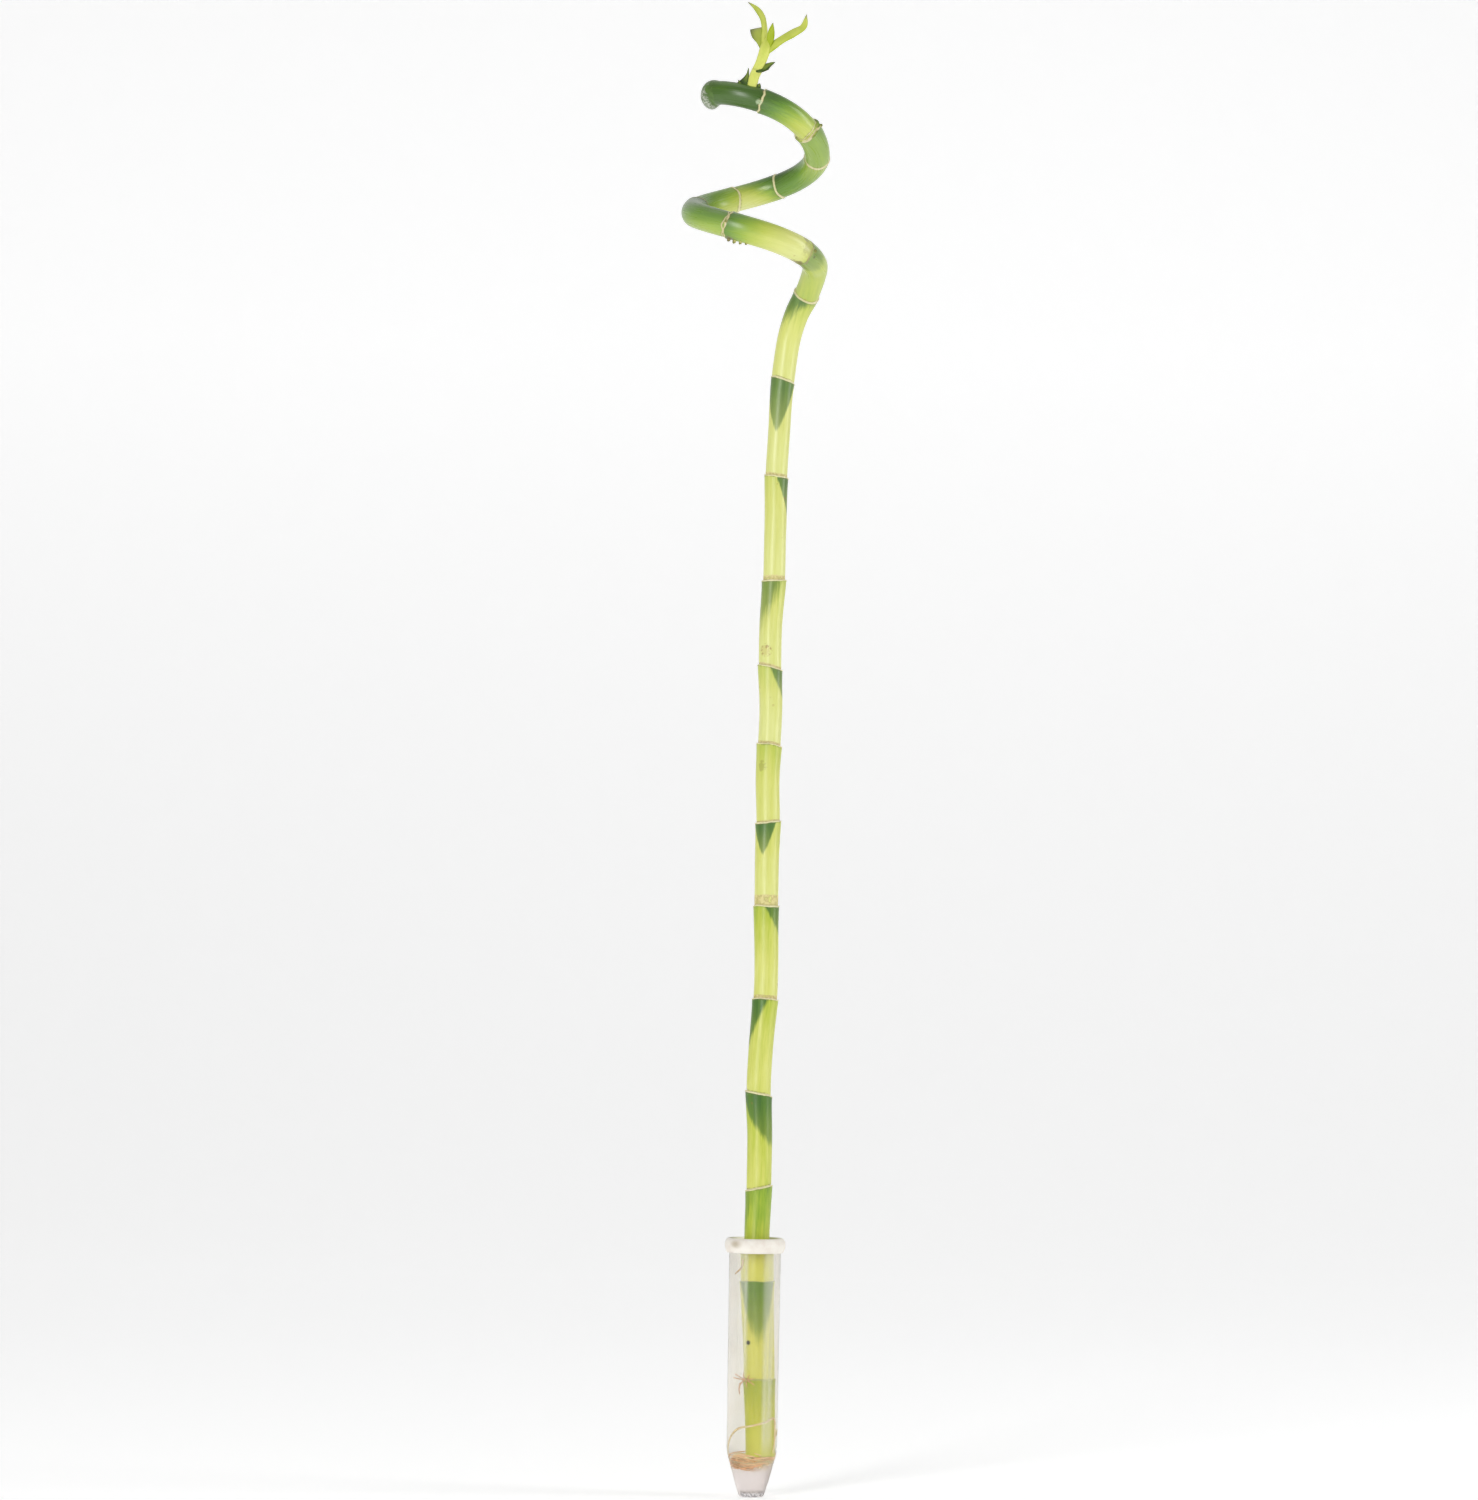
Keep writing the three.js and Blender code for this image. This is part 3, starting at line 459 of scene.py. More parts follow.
def closed_grid(grid, fields):
    """Rows of points that each close on themselves, with a fan from the middle of the first and last row.
    Returns points, faces that look outwards, and the fields with a value for each point."""
    rows, sides = grid.shape[:2]
    points = np.vstack([grid.reshape(-1, 3), grid[0].mean(0), grid[-1].mean(0)])
    quads = quads_between(rows, sides, False)
    k = np.arange(sides)
    turn = (k + 1) % sides
    first, last = rows * sides, rows * sides + 1
    start = np.stack([np.full(sides, first), turn, k], axis=1)
    end = np.stack([np.full(sides, last), first - sides + k, first - sides + turn], axis=1)
    if looks_inwards(points, quads, (start, end)):
        quads, start, end = quads[:, ::-1], start[:, ::-1], end[:, ::-1]
    whole = {}
    for name, field in fields.items():
        values = field.reshape(rows, sides, -1)
        whole[name] = np.vstack([values.reshape(rows * sides, -1), values[0].mean(0), values[-1].mean(0)])
    return points, quads.tolist() + start.tolist() + end.tolist(), whole


def new_object(name, data):
    """An object in the scene."""
    thing = bpy.data.objects.new(name, data)
    bpy.context.scene.collection.objects.link(thing)
    return thing


def smooth_mesh(name, points, faces, material):
    mesh = bpy.data.meshes.new(name)
    mesh.from_pydata(points.tolist(), [], faces)
    mesh.polygons.foreach_set("use_smooth", np.ones(len(mesh.polygons), bool))
    mesh.materials.append(material)
    mesh.update()
    return mesh


def add_piece(name, points, faces, fields, finish, nodes):
    """One smooth mesh on the object's only body. Fields become attributes."""
    mesh = smooth_mesh(name, points, faces, finish)
    for field, values in fields.items():
        vector = values.shape[1] == 3
        layer = mesh.attributes.new(field, "FLOAT_VECTOR" if vector else "FLOAT", "POINT")
        layer.data.foreach_set("vector" if vector else "value", values.ravel().astype(np.float32))
    piece = new_object(name, mesh)
    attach(piece, BODY)
    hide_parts(*nodes)


def make_piece(name, grids, finish, nodes):
    """One piece from closed grids, each given as (grid in millimetres, fields)."""
    parts = [closed_grid(grid * MM, fields) for grid, fields in grids]
    points, faces, start = [], [], 0
    for some, corners, _ in parts:
        points.append(some)
        faces += [[corner + start for corner in face] for face in corners]
        start += len(some)
    fields = {field: np.vstack([whole[field] for _, _, whole in parts]) for field in parts[0][2]}
    add_piece(name, np.vstack(points), faces, fields, finish, nodes)


def rings_about(samples, slopes, towards, radii, sides):
    """Round rows about a route: centre plus radius times cosine of the turn outwards and sine sideways."""
    out, side = square_to(slopes, towards)
    turn = around(sides)
    spread = out[:, None] * np.cos(turn)[None, :, None] + side[:, None] * np.sin(turn)[None, :, None]
    return samples[:, None, :3] + spread * radii.reshape(len(samples), -1, 1), spread, turn


# A direction that no root or nub runs along
SKEW = unit(np.array([[0.31, 0.47, 0.83]]))


def rod(points, radius, tip, steps, sides, rough=0, seed=0):
    """A round rod along a curve. Its radius falls to the tip's over the last third, rounds off over the last
    steps at both ends, and swells and shrinks a little at random."""
    share, samples, slopes = even_steps(points, steps)
    taper = np.interp(share, [0, 0.66, 1], [radius, radius, tip])
    last_steps = np.clip(np.abs(2 * share - 1) * (steps - 1) - (steps - 3), 0, 2)
    ends = np.sqrt(np.clip(1 - last_steps ** 2 / 4.4, 0.02, 1))
    swell = 1 + rough * (fixed_chance(steps, seed) - 0.5)
    grid, _, _ = rings_about(samples, slopes, SKEW, taper * ends * swell, sides)
    return grid


def plain_fields(grid, **values):
    """Fields that hold one value all over, or one a row."""
    shape = grid.shape[:2]
    return {name: np.broadcast_to(np.reshape(value, (-1, 1)), shape) for name, value in values.items()}


def coil_point(angle):
    """Point on the coil: a circle seen from above that is wound to the viewer first, climbing a pitch in a
    turn, less a half wave of sag in the first half turn, plus a half wave of lift in the third."""
    angle = np.asarray(angle, float)
    turn, rad = angle / 360, np.radians(angle)
    sag = SAG * np.clip(np.sin(np.pi * turn), 0, None)
    lift = LIFT * np.clip(np.sin(2 * np.pi * (turn - 1)), 0, None) ** LIFT_POWER
    x, y, z = COIL_CENTRE
    height = z + PITCH * turn + np.where(turn > 1, lift, -sag)
    return np.stack([x + COIL_RADIUS * np.cos(rad), y - COIL_RADIUS * np.sin(rad), height], axis=-1)


def cane_route():
    """Centreline through the foot, each straight node, the bowed middle between nodes, the bend and coil."""
    places = np.array([node[:3] for node in STRAIGHT_NODES])
    halves = (places[:-1] + places[1:]) / 2
    halves[:, 0] += [node[3] for node in STRAIGHT_NODES[:-1]]
    woven = np.empty((2 * len(places) - 1, 3))
    woven[0::2] = places
    woven[1::2] = halves
    coil = coil_point(np.arange(0, ROUTE_END_ANGLE + 1, COIL_STEP))
    return Route(np.vstack([FOOT, woven, BEND, BEND_NODE, coil]))


ROUTE = cane_route()
NODE_RUNS = np.array(
    [ROUTE.near(node[:3]) for node in STRAIGHT_NODES]
    + [ROUTE.near(BEND_NODE)]
    + [ROUTE.near(coil_point(angle)) for angle, _ in COIL_NODES]
)
NODE_LEANS = np.array([node[4] for node in STRAIGHT_NODES] + [0] * (1 + len(COIL_NODES)), float)
RADII = np.array(
    [FOOT_RADIUS]
    + [node[5] for node in STRAIGHT_NODES]
    + [BEND_RADIUS]
    + [radius for _, radius in COIL_NODES]
)
CANE_END = ROUTE.near(coil_point(CUT_ANGLE))
NECK_START = CANE_END - WAX_LENGTH


def away_from_coil(samples):
    """Level direction away from the coil's axis, which is never along the cane."""
    away = samples[:, :3] - np.array(COIL_CENTRE)
    away[:, 2] = 0
    return unit(away)


def internode_of(run):
    """Number of the internode at each length run, and the lengths down from its top and up from its foot."""
    number = np.searchsorted(NODE_RUNS, run - 1e-6)
    tops = np.append(NODE_RUNS, CANE_END + BEYOND_CUT)
    feet = np.insert(NODE_RUNS, 0, 0)
    return number, tops[number] - run, run - feet[number]


def cane_radius(run):
    """The internode's radius, plus a flare that dies away below the next node, plus a rounded ring there,
    less a groove just above each node. Inside the wax it is the neck's."""
    number, below, above = internode_of(run)
    flare = FLARES[number] * np.exp(-below / FLARE_LENGTH)
    ring = RING_RELIEF * np.clip(1 - ((below - RING_HEIGHT / 2) / (RING_HEIGHT * 0.8)) ** 2, 0, 1)
    groove = GROOVE_DEPTH * np.exp(-above / GROOVE_LENGTH) * (number > 0)
    return np.where(run > NECK_START, WAX_NECK, RADII[number] + flare + ring - groove)


def cane_stations():
    """Even lengths run, with more about each node and at the neck, and none closer than 0.015 mm."""
    even = np.arange(0, CANE_END, CANE_STEP)
    near = (NODE_RUNS[:, None] + np.array(NEAR_NODE)).ravel()
    ends = [NECK_START, NECK_START + 0.02, CANE_END]
    every = np.unique(np.round(np.concatenate([even, near, ends]), 3))
    kept = every[(every >= 0) & (every <= CANE_END)]
    return kept[np.insert(np.diff(kept) > 0.015, 0, True)]


def cane_surface():
    """The cane as a grid with its looks: rows lean near a leaning node by the slope times the distance to
    the right, wave a little about each ring, and the skin swells by slow waves round and along it."""
    run = cane_stations()
    samples, slopes = ROUTE.at(run)
    grid, spread, turn = rings_about(samples, slopes, away_from_coil(samples), cane_radius(run), CANE_SIDES)
    nearest = np.argmin(np.abs(run[:, None] - NODE_RUNS), axis=1)
    past = run - NODE_RUNS[nearest]
    fade = np.exp(-((past / LEAN_REACH) ** 2)) * (run > 1)
    lean = -np.tan(np.radians(NODE_LEANS[nearest])) * fade
    right = grid[..., 0] - samples[:, None, 0]
    along, node = run[:, None], nearest[:, None]
    wave = RING_WAVE * (np.sin(2 * turn + 1.7 * node) + 0.5 * np.sin(5 * turn + node))
    wave = wave * np.exp(-((past / WAVE_REACH) ** 2))[:, None] * (along < NECK_START - WAVE_REACH)
    grid = grid + slopes[:, None] * (lean[:, None] * right + wave)[..., None]
    swell = ROUND_SWELL * np.sin(3 * turn + along / 9) + LONG_SWELL * np.sin(along / 5.3 + turn)
    grid = grid + spread * (swell * (along < NECK_START - 2))[..., None]
    return grid, cane_fields(run, spread, turn, past, nearest)


def told(table, usual, numbers):
    """A column with what a table tells of each number, or else the usual value."""
    return np.array([table.get(number, usual) for number in numbers.tolist()], float)[:, None]


def ring_distance(turn, past, nearest):
    """Distance from the nearest node's ring, or from the fainter second line over it, over the ring's half
    width. Rings stray by slow waves round the cane and are jagged by short ones."""
    node, numbers = nearest[:, None], nearest + 1
    stray = np.where(node > len(STRAIGHT_NODES), COIL_STRAY, STRAIGHT_STRAY)
    stray = stray * (np.sin(2 * turn + 2.3 * node) + 0.6 * np.sin(3 * turn - node))
    teeth = np.sin(5 * turn + node) + 0.7 * np.sin(9 * turn - 2 * node)
    teeth = told(JAGGED, USUAL_JAGGED, numbers) * teeth
    half = told(ODD_RINGS, RING_HALF_WIDTH, numbers)
    second = told(SECOND_RINGS, 0, numbers)
    first = np.abs(past + RING_BELOW + stray + teeth) / half
    upper = np.abs(past - second * (1 + 0.3 * np.sin(turn + 1)) + stray - 0.8 * teeth) / half
    return np.where(second > 0, np.minimum(first, upper + SECOND_FAINTER), first)


def cane_fields(run, spread, turn, past, nearest):
    """Looks of the cane. tone runs from foot to top of an internode, is less under water and more on the
    coil's upper side, which is painted shade. bloom is whitish bloom and partly a painted sheen,
    more where the coil is palest. mark is how far a point lies inside the tongue under a node, whose depth
    falls off sideways from its middle, over its softness, and strength is less low in the tongue. ring is
    the distance from the nearest ring, and cream is how cream that ring is. cork is how far a point lies
    inside a corky band over a node. grain is a place on a plain cylinder that is squeezed along the cane,
    so that noise on it makes streaks."""
    number, below, above = internode_of(run)
    looks = np.array(INTERNODES + [END_LOOK])[number]
    foot, top, middle, depth, width, roundness, soft, strength, bloom = looks.T[..., None]
    run, below, above = run[:, None], below[:, None], above[:, None]
    on_coil = np.clip((run - NODE_RUNS[len(STRAIGHT_NODES)]) / COIL_FADE, 0, 1)
    tone = foot + (top - foot) * (above / (above + below)) ** TONE_POWER
    tone = tone - UNDER_WATER_PALER * np.clip((WATER_TOP + 1 - run - FOOT[2]) / WATER_FADE, 0, 1)
    # Painted shade: the coil's upper side is made deeper by the way it faces, against the light from above
    tone = tone + told(UPPER_PAINTED_SHADE, COIL_PAINTED_SHADE, number) * on_coil * np.clip(spread[..., 2], -0.7, 0.8)
    tone = tone + told(FOOT_DEEPER, 0, number) * np.exp(-above / FOOT_FADE)
    # Painted sheen: more whitish bloom on the coil's palest skin
    bloom = bloom + COIL_PAINTED_SHEEN * on_coil * np.clip(1 - tone / PAINTED_SHEEN_BELOW, 0, 1)
    seen = np.degrees(np.arctan2(spread[..., 0], -spread[..., 1]))
    straight = number[:, None] <= len(STRAIGHT_NODES)
    direction = np.where(straight, seen, wrapped(np.degrees(turn)))
    off = np.clip(np.abs(wrapped(direction - middle)) / width, 0, 1)
    mark = (depth * (1 - off ** roundness) - below) / soft
    fields = {
        "tone": tone,
        "mark": np.clip(mark, -3, 3),
        "strength": strength * (0.62 + 0.38 * np.clip(1.15 - below / np.maximum(depth, 1), 0, 1)),
        "ring": ring_distance(turn, past[:, None], nearest),
        "cork": np.clip((told(CORK, 0, number) - above) / CORK_EDGE, -3, 1),
        "cream": told(RING_CREAM, 1, nearest + 1),
        "bloom": bloom,
    }
    rows = np.ones((len(run), len(turn)))
    grain = [RADII[0] * np.cos(turn) * rows, RADII[0] * np.sin(turn) * rows, run / GRAIN_STRETCH * rows]
    return {**{name: field * rows for name, field in fields.items()}, "grain": np.stack(grain, axis=-1)}


def nub(node, offset, direction, height, radius):
    """A blunt cone out of the cane's skin at a direction about it, sunk in at its root."""
    run = np.array([NODE_RUNS[node - 1] + offset])
    samples, slopes = ROUTE.at(run)
    out, side = square_to(slopes, away_from_coil(samples))
    rad = np.radians(direction)
    way = out[0] * np.cos(rad) + side[0] * np.sin(rad)
    reach = cane_radius(run)[0] + np.array([-1, 0.1, 0.6 * height, height])
    points = samples[0, :3] + way * reach[:, None] + slopes[0] * np.array([0, 0, 0.15, 0.35])[:, None]
    grid = rod(points, radius, radius * 0.45, NUB_STEPS, NUB_STEPS)
    cork = np.linspace(-0.3, 3, NUB_STEPS)
    fields = plain_fields(grid, tone=0.6, mark=-3, strength=0, bloom=0, ring=9, cream=1, cork=cork)
    return grid, {**fields, "grain": grid}


def wax_surface():
    """The wax as a grid with its looks: up the inside of its hollow, round its lip and over its dome, which
    sags, is lumpy, and bulges on its underside. along runs from the lip to the tip, and low is the share of
    a direction that is downwards, cubed."""
    start = NECK_START + 0.3
    ahead, more, sunk = curve_through(WAX_PROFILE, 4).T
    inner = [CANE_END + 0.2, CANE_END - 1, start + 0.3, start]
    run = np.concatenate([inner, start + ahead])
    samples, slopes = ROUTE.at(run)
    samples[len(inner):, 2] -= sunk
    radii = np.concatenate([np.full(len(inner), WAX_NECK + WAX_GAP), WAX_RADIUS + more])[:, None]
    _, spread, turn = rings_about(samples, slopes, away_from_coil(samples), radii, WAX_SIDES)
    ahead = np.where(np.arange(len(run)) < len(inner), 0, run - start)
    outer = (np.arange(len(run)) >= len(inner))[:, None]
    low = np.clip(-spread[..., 2], 0, None) ** 3
    bulge = np.sin(np.pi * (np.clip(ahead / DRIP_REACH, 0, 1) * 5 + 0.4) / 6)[:, None] ** 2
    swell = WAX_DRIP * bulge * low + WAX_LUMPS * np.sin(4 * turn + WAX_LUMP_TURN)
    grid = samples[:, None, :3] + spread * (radii + outer * swell)[..., None]
    return grid, {**plain_fields(grid, along=ahead / WAX_PROFILE[-1][0]), "low": low}


SHOOT_RUN = ROUTE.near(coil_point(SHOOT_ANGLE))


def shoot_foot():
    """The spot on top of the cane that the shoot grows from."""
    samples, slopes = ROUTE.at(np.array([SHOOT_RUN]))
    out, _ = square_to(slopes, np.array([[0, 0, 1]]))
    return samples[0, :3] + out[0] * cane_radius(np.array([SHOOT_RUN]))[0]


FOOT_OF_SHOOT = shoot_foot()


def from_foot(points):
    """(right, up, back, half width) points from the shoot's foot, as (x, y, z, half width)."""
    p = np.asarray(points, float)
    placed = np.stack([p[:, 0], p[:, 2], p[:, 1] + SHOOT_LIFT], axis=1) + FOOT_OF_SHOOT
    return np.column_stack([placed, p[:, 3:]])


def blade(points, facing, channel, steps):
    """A leaf or scale: at each step a thin lens across the midrib. across runs from -1 to 1 and back. The
    lens is thickest in the middle, thins to the edge and with a narrow tip, and bends to a channel by the
    square of across. A shallow wave runs along its edges, and a groove down its midrib."""
    share, samples, slopes = even_steps(from_foot(points), steps)
    right, up, back = facing
    wide = unit(np.cross(slopes, np.array([[right, back, up]])))
    out = unit(np.cross(wide, slopes))
    turn = around(BLADE_SIDES)
    across, face = -np.cos(turn)[None], np.sin(turn)[None]
    half = np.maximum(samples[:, 3:4], 0.1)
    thick = BLADE / 2 * np.minimum(1, half / 0.6) * face * (1 - 0.2 * across ** 2)
    ripple = EDGE_RIPPLE * np.sin(share[:, None] * 17 + 2 * across) * across ** 2 * np.minimum(1, half)
    groove = RIB_GROOVE * np.exp(-((across / 0.14) ** 2)) * (face > 0)
    lift = thick - channel * across ** 2 * np.minimum(1, half) + ripple - groove
    across_leaf = wide[:, None] * (across * half)[..., None]
    grid = samples[:, None, :3] + across_leaf + out[:, None] * lift[..., None]
    return grid, {"along": share[:, None] + 0 * across, "across": across + np.zeros((steps, 1))}


def leaf(points, facing, channel, rich, dusk):
    """A blade with the looks of a young leaf. rich goes evenly from one value at the base to another at the
    tip. dusk has an even share, and one that grows with the square of along and is more at one edge."""
    grid, looks = blade(points, facing, channel, LEAF_STEPS)
    along, edge = looks["along"], np.clip(-looks["across"], 0, 1)
    even, grown, inside = dusk
    looks["rich"] = rich[0] + (rich[1] - rich[0]) * along
    looks["dusk"] = even + grown * along ** 2 * (inside + edge)
    return grid, looks


def stem_surface():
    """The shoot's stem as a grid with its looks: it rounds off at its top and has ring scars. It is richer
    towards its top, paler at its sides seen from the viewer as a painted reflection, and dusky at its first
    scar."""
    share, samples, slopes = even_steps(from_foot(STEM), STEM_STEPS)
    top = np.sqrt(np.clip(1 - np.clip((share - 0.94) / 0.06, 0, 1) ** 2, 0.04, 1))
    scars = [np.exp(-(((share - place) / SCAR_LENGTH) ** 2)) for place, _ in STEM_SCARS]
    relief = sum(high * scar for (_, high), scar in zip(STEM_SCARS, scars))
    stem, _, turn = rings_about(samples, slopes, TO_VIEWER, samples[:, 3] * top + relief, STEM_SIDES)
    looks = plain_fields(stem, along=share * 0.6, rich=0.08 + 0.55 * share ** 2, dusk=0.35 * scars[0])
    looks["across"] = np.sin(turn) + np.zeros((STEM_STEPS, 1))
    # Painted reflection: the stem is paler where it turns sideways to the viewer
    looks["rich"] = looks["rich"] - 0.6 * looks["across"] ** 2
    return stem, looks


def revolved(profile, sides=ROUND_SIDES):
    """A profile of (radius, height) turned about the upright axis, a row for each of its points."""
    p = np.asarray(profile, float)
    turn = around(sides)
    x = p[:, :1] * np.cos(turn)
    y = p[:, :1] * np.sin(turn)
    return np.stack([x, y, p[:, 1:] + 0 * x], axis=-1)


def ring_of(profile, name, finish, nodes):
    """A profile that closes on itself, turned about the axis: quads that wrap both ways, with no poles."""
    grid = revolved(profile) * MM
    points, quads = grid.reshape(-1, 3), quads_between(*grid.shape[:2], True)
    if looks_inwards(points, quads):
        quads = quads[:, ::-1]
    add_piece(name, points, quads.tolist(), {}, finish, nodes)


def tube_radius(height):
    """Outer radius of the tube at heights: straight mixes between the profile's points."""
    radii, heights = np.array(TUBE_OUTSIDE).T
    return np.interp(height, heights, radii)


def tube_outside():
    """The outside as (radius, height), with the tapered foot made smooth."""
    return np.vstack([TUBE_OUTSIDE[:4], curve_through(TUBE_OUTSIDE[4:10], 6), TUBE_OUTSIDE[10:]])


def tube_profile():
    """Up the outside, over a rounded rim, down the inside a wall's width in, and across the floor."""
    outside = tube_outside()
    turn = np.radians(np.linspace(20, 160, 6))[:, None]
    middle = np.array([tube_radius(TUBE_RIM) - TUBE_WALL / 2, TUBE_RIM - RIM_HEIGHT])
    rim = middle + np.hstack([TUBE_WALL / 2 * np.cos(turn), RIM_HEIGHT * np.sin(turn)])
    inside = outside[::-1] - np.array([TUBE_WALL, 0])
    inside = inside[inside[:, 1] > TUBE_FLOOR + 0.6]
    corner = (tube_radius(TUBE_FLOOR) - TUBE_WALL - CORNER, TUBE_FLOOR + 0.15)
    return np.vstack([
        [(POLE, 0), (3.8, 0)], outside, rim, inside, [corner, (4, TUBE_FLOOR), (POLE, TUBE_FLOOR)]])


def tube_surface():
    """The tube as a grid with its looks: the direction of each point from the axis, as two numbers."""
    grid = revolved(tube_profile())
    level = np.linalg.norm(grid[..., :2], axis=-1)
    return grid, {"round_x": grid[..., 0] / level, "round_y": grid[..., 1] / level}


def water_profile():
    """Up just inside the tube's wall from its floor, to a top that climbs a little where it wets the wall."""
    low = [TUBE_FLOOR + 0.2, TUBE_FLOOR + 0.6]
    heights = np.concatenate([low, np.linspace(3, 21.5, WATER_ROWS), WATER_LEVELS])
    outside = tube_outside()
    radii = np.interp(heights, outside[:, 1], outside[:, 0]) - TUBE_WALL + WATER_OVER
    radii[0] -= CORNER
    share = np.linspace(0, 1, WATER_TOP_ROWS)[1:] ** 2
    inward = radii[-1] * share
    dip = MENISCUS * (1 - np.exp(-inward / MENISCUS_REACH))
    top = np.stack([radii[-1] - inward + POLE * share, WATER_TOP - dip], axis=1)
    bottom = [(POLE, TUBE_FLOOR + 0.01), (4, TUBE_FLOOR + 0.01)]
    return np.vstack([bottom, np.stack([radii, heights], axis=1), top])


class Value:
    """A number that a shader node gives, for use in sums. Each operator adds a Math node."""

    def __init__(self, finish, socket):
        self.finish = finish
        self.socket = socket

    def math(self, operation, first, second=0.0):
        return self.finish.number("Value", "ShaderNodeMath", {"operation": operation}, {0: first, 1: second})

    def __add__(self, other):
        return self.math("ADD", self, other)

    def __sub__(self, other):
        return self.math("SUBTRACT", self, other)

    def __rsub__(self, other):
        return self.math("SUBTRACT", other, self)

    def __mul__(self, other):
        return self.math("MULTIPLY", self, other)

    __radd__ = __add__

    def most(self, other):
        return self.math("MAXIMUM", self, other)

    def sine(self):
        return self.math("SINE", self)

    def step(self, low, high):
        """0 at low, 1 at high and a smooth rise between. Low may be above high."""
        sockets = {"Value": self, "From Min": min(low, high), "From Max": max(low, high)}
        if low > high:
            sockets.update({"To Min": 1.0, "To Max": 0.0})
        settings = {"interpolation_type": "SMOOTHSTEP"}
        return self.finish.number("Result", "ShaderNodeMapRange", settings, sockets)


class Finish:
    """A material with one Principled shader, and short ways to feed it."""

    def __init__(self, name, **constants):
        self.material = bpy.data.materials.new(name)
        self.material.use_nodes = True
        self.tree = self.material.node_tree
        self.shader = self.tree.nodes["Principled BSDF"]
        for socket, value in constants.items():
            self.shader.inputs[socket.replace("_", " ")].default_value = value
        self.colour = None

    def add(self, kind, settings=None, sockets=None):
        """A node of a kind, with its settings and then the values or links of its sockets."""
        node = self.tree.nodes.new(kind)
        for name, value in (settings or {}).items():
            setattr(node, name, value)
        for name, value in (sockets or {}).items():
            self.feed(node.inputs[name], value)
        return node

    def number(self, output, kind, settings=None, sockets=None):
        """What comes out of a new node, for use in sums."""
        return Value(self, self.add(kind, settings, sockets).outputs[output])

    def feed(self, socket, value):
        """Links what a node gives, or else sets a colour or a constant."""
        if isinstance(value, Value):
            self.tree.links.new(value.socket, socket)
        elif isinstance(value, bpy.types.NodeSocket):
            self.tree.links.new(value, socket)
        elif socket.type == "RGBA":
            socket.default_value = (*value, 1)
        else:
            socket.default_value = value

    def field(self, name):
        """A mesh attribute as a number."""
        return self.number("Fac", "ShaderNodeAttribute", {"attribute_name": name})

    def place(self, name=None, stretch=(1, 1, 1)):
        """A mesh attribute, or else the place on the object in metres, as a stretched vector."""
        if name:
            source = self.add("ShaderNodeAttribute", {"attribute_name": name}).outputs["Vector"]
        else:
            source = self.add("ShaderNodeTexCoord").outputs["Object"]
        return self.add("ShaderNodeMapping", None, {"Vector": source, "Scale": stretch}).outputs[0]

    def height(self):
        """Height on the object, in metres."""
        return self.number("Z", "ShaderNodeSeparateXYZ", None, {"Vector": self.place()})

    def distance(self, where, spot):
        return self.number("Value", "ShaderNodeVectorMath", {"operation": "DISTANCE"}, {0: where, 1: spot})

    def noise(self, where, scale, detail=3.0, rough=0.5):
        sockets = {"Vector": where, "Scale": scale, "Detail": detail, "Roughness": rough}
        return self.number("Fac", "ShaderNodeTexNoise", None, sockets)

    def mix(self, factor, first, second):
        sockets = {"Factor": factor, 6: first, 7: second}
        return self.add("ShaderNodeMix", {"data_type": "RGBA"}, sockets).outputs[2]

    def lay(self, share, colour):
        """Lays a share of a colour over the colour so far."""
        self.colour = self.mix(share, self.colour, colour)

    def ramp(self, value, stops):
        """Colours in order along a value, each stop being (place, colour)."""
        colour = stops[0][1]
        for (low, _), (high, following) in zip(stops, stops[1:]):
            sockets = {"Value": value, "From Min": low, "From Max": high}
            share = self.number("Result", "ShaderNodeMapRange", None, sockets)
            colour = self.mix(share, colour, following)
        return colour

    def lit(self):
        """1 for the lamps' own light and for scattered light, and else 0."""
        rays = self.add("ShaderNodeLightPath")
        return Value(self, rays.outputs["Is Shadow Ray"]).most(Value(self, rays.outputs["Is Diffuse Ray"]))

    def let_light_in(self, share):
        """Lets a share of the lamps' light and of scattered light straight through, so that what stands
        behind a clear or thin skin is lit as it is in daylight."""
        self.set("Alpha", 1 - self.lit() * share)

    def veil_and_painted_glare(self, share, colour, light_in):
        """Lays a share of a plain rough white diffuse shader over the shader, as a painted highlight. It lets
        light in like the rest.
        """
        film_and_painted_glare = self.add("ShaderNodeBsdfDiffuse", None, {"Color": colour})
        sockets = {0: share * (1 - self.lit() * light_in), 1: self.shader.outputs[0], 2: film_and_painted_glare.outputs[0]}
        both = self.add("ShaderNodeMixShader", None, sockets)
        self.tree.links.new(both.outputs[0], self.tree.nodes["Material Output"].inputs["Surface"])

    def bump(self, height, distance, strength):
        sockets = {"Height": height, "Distance": distance, "Strength": strength}
        self.feed(self.shader.inputs["Normal"], self.add("ShaderNodeBump", None, sockets).outputs[0])

    def set(self, socket, value):
        self.feed(self.shader.inputs[socket], value)


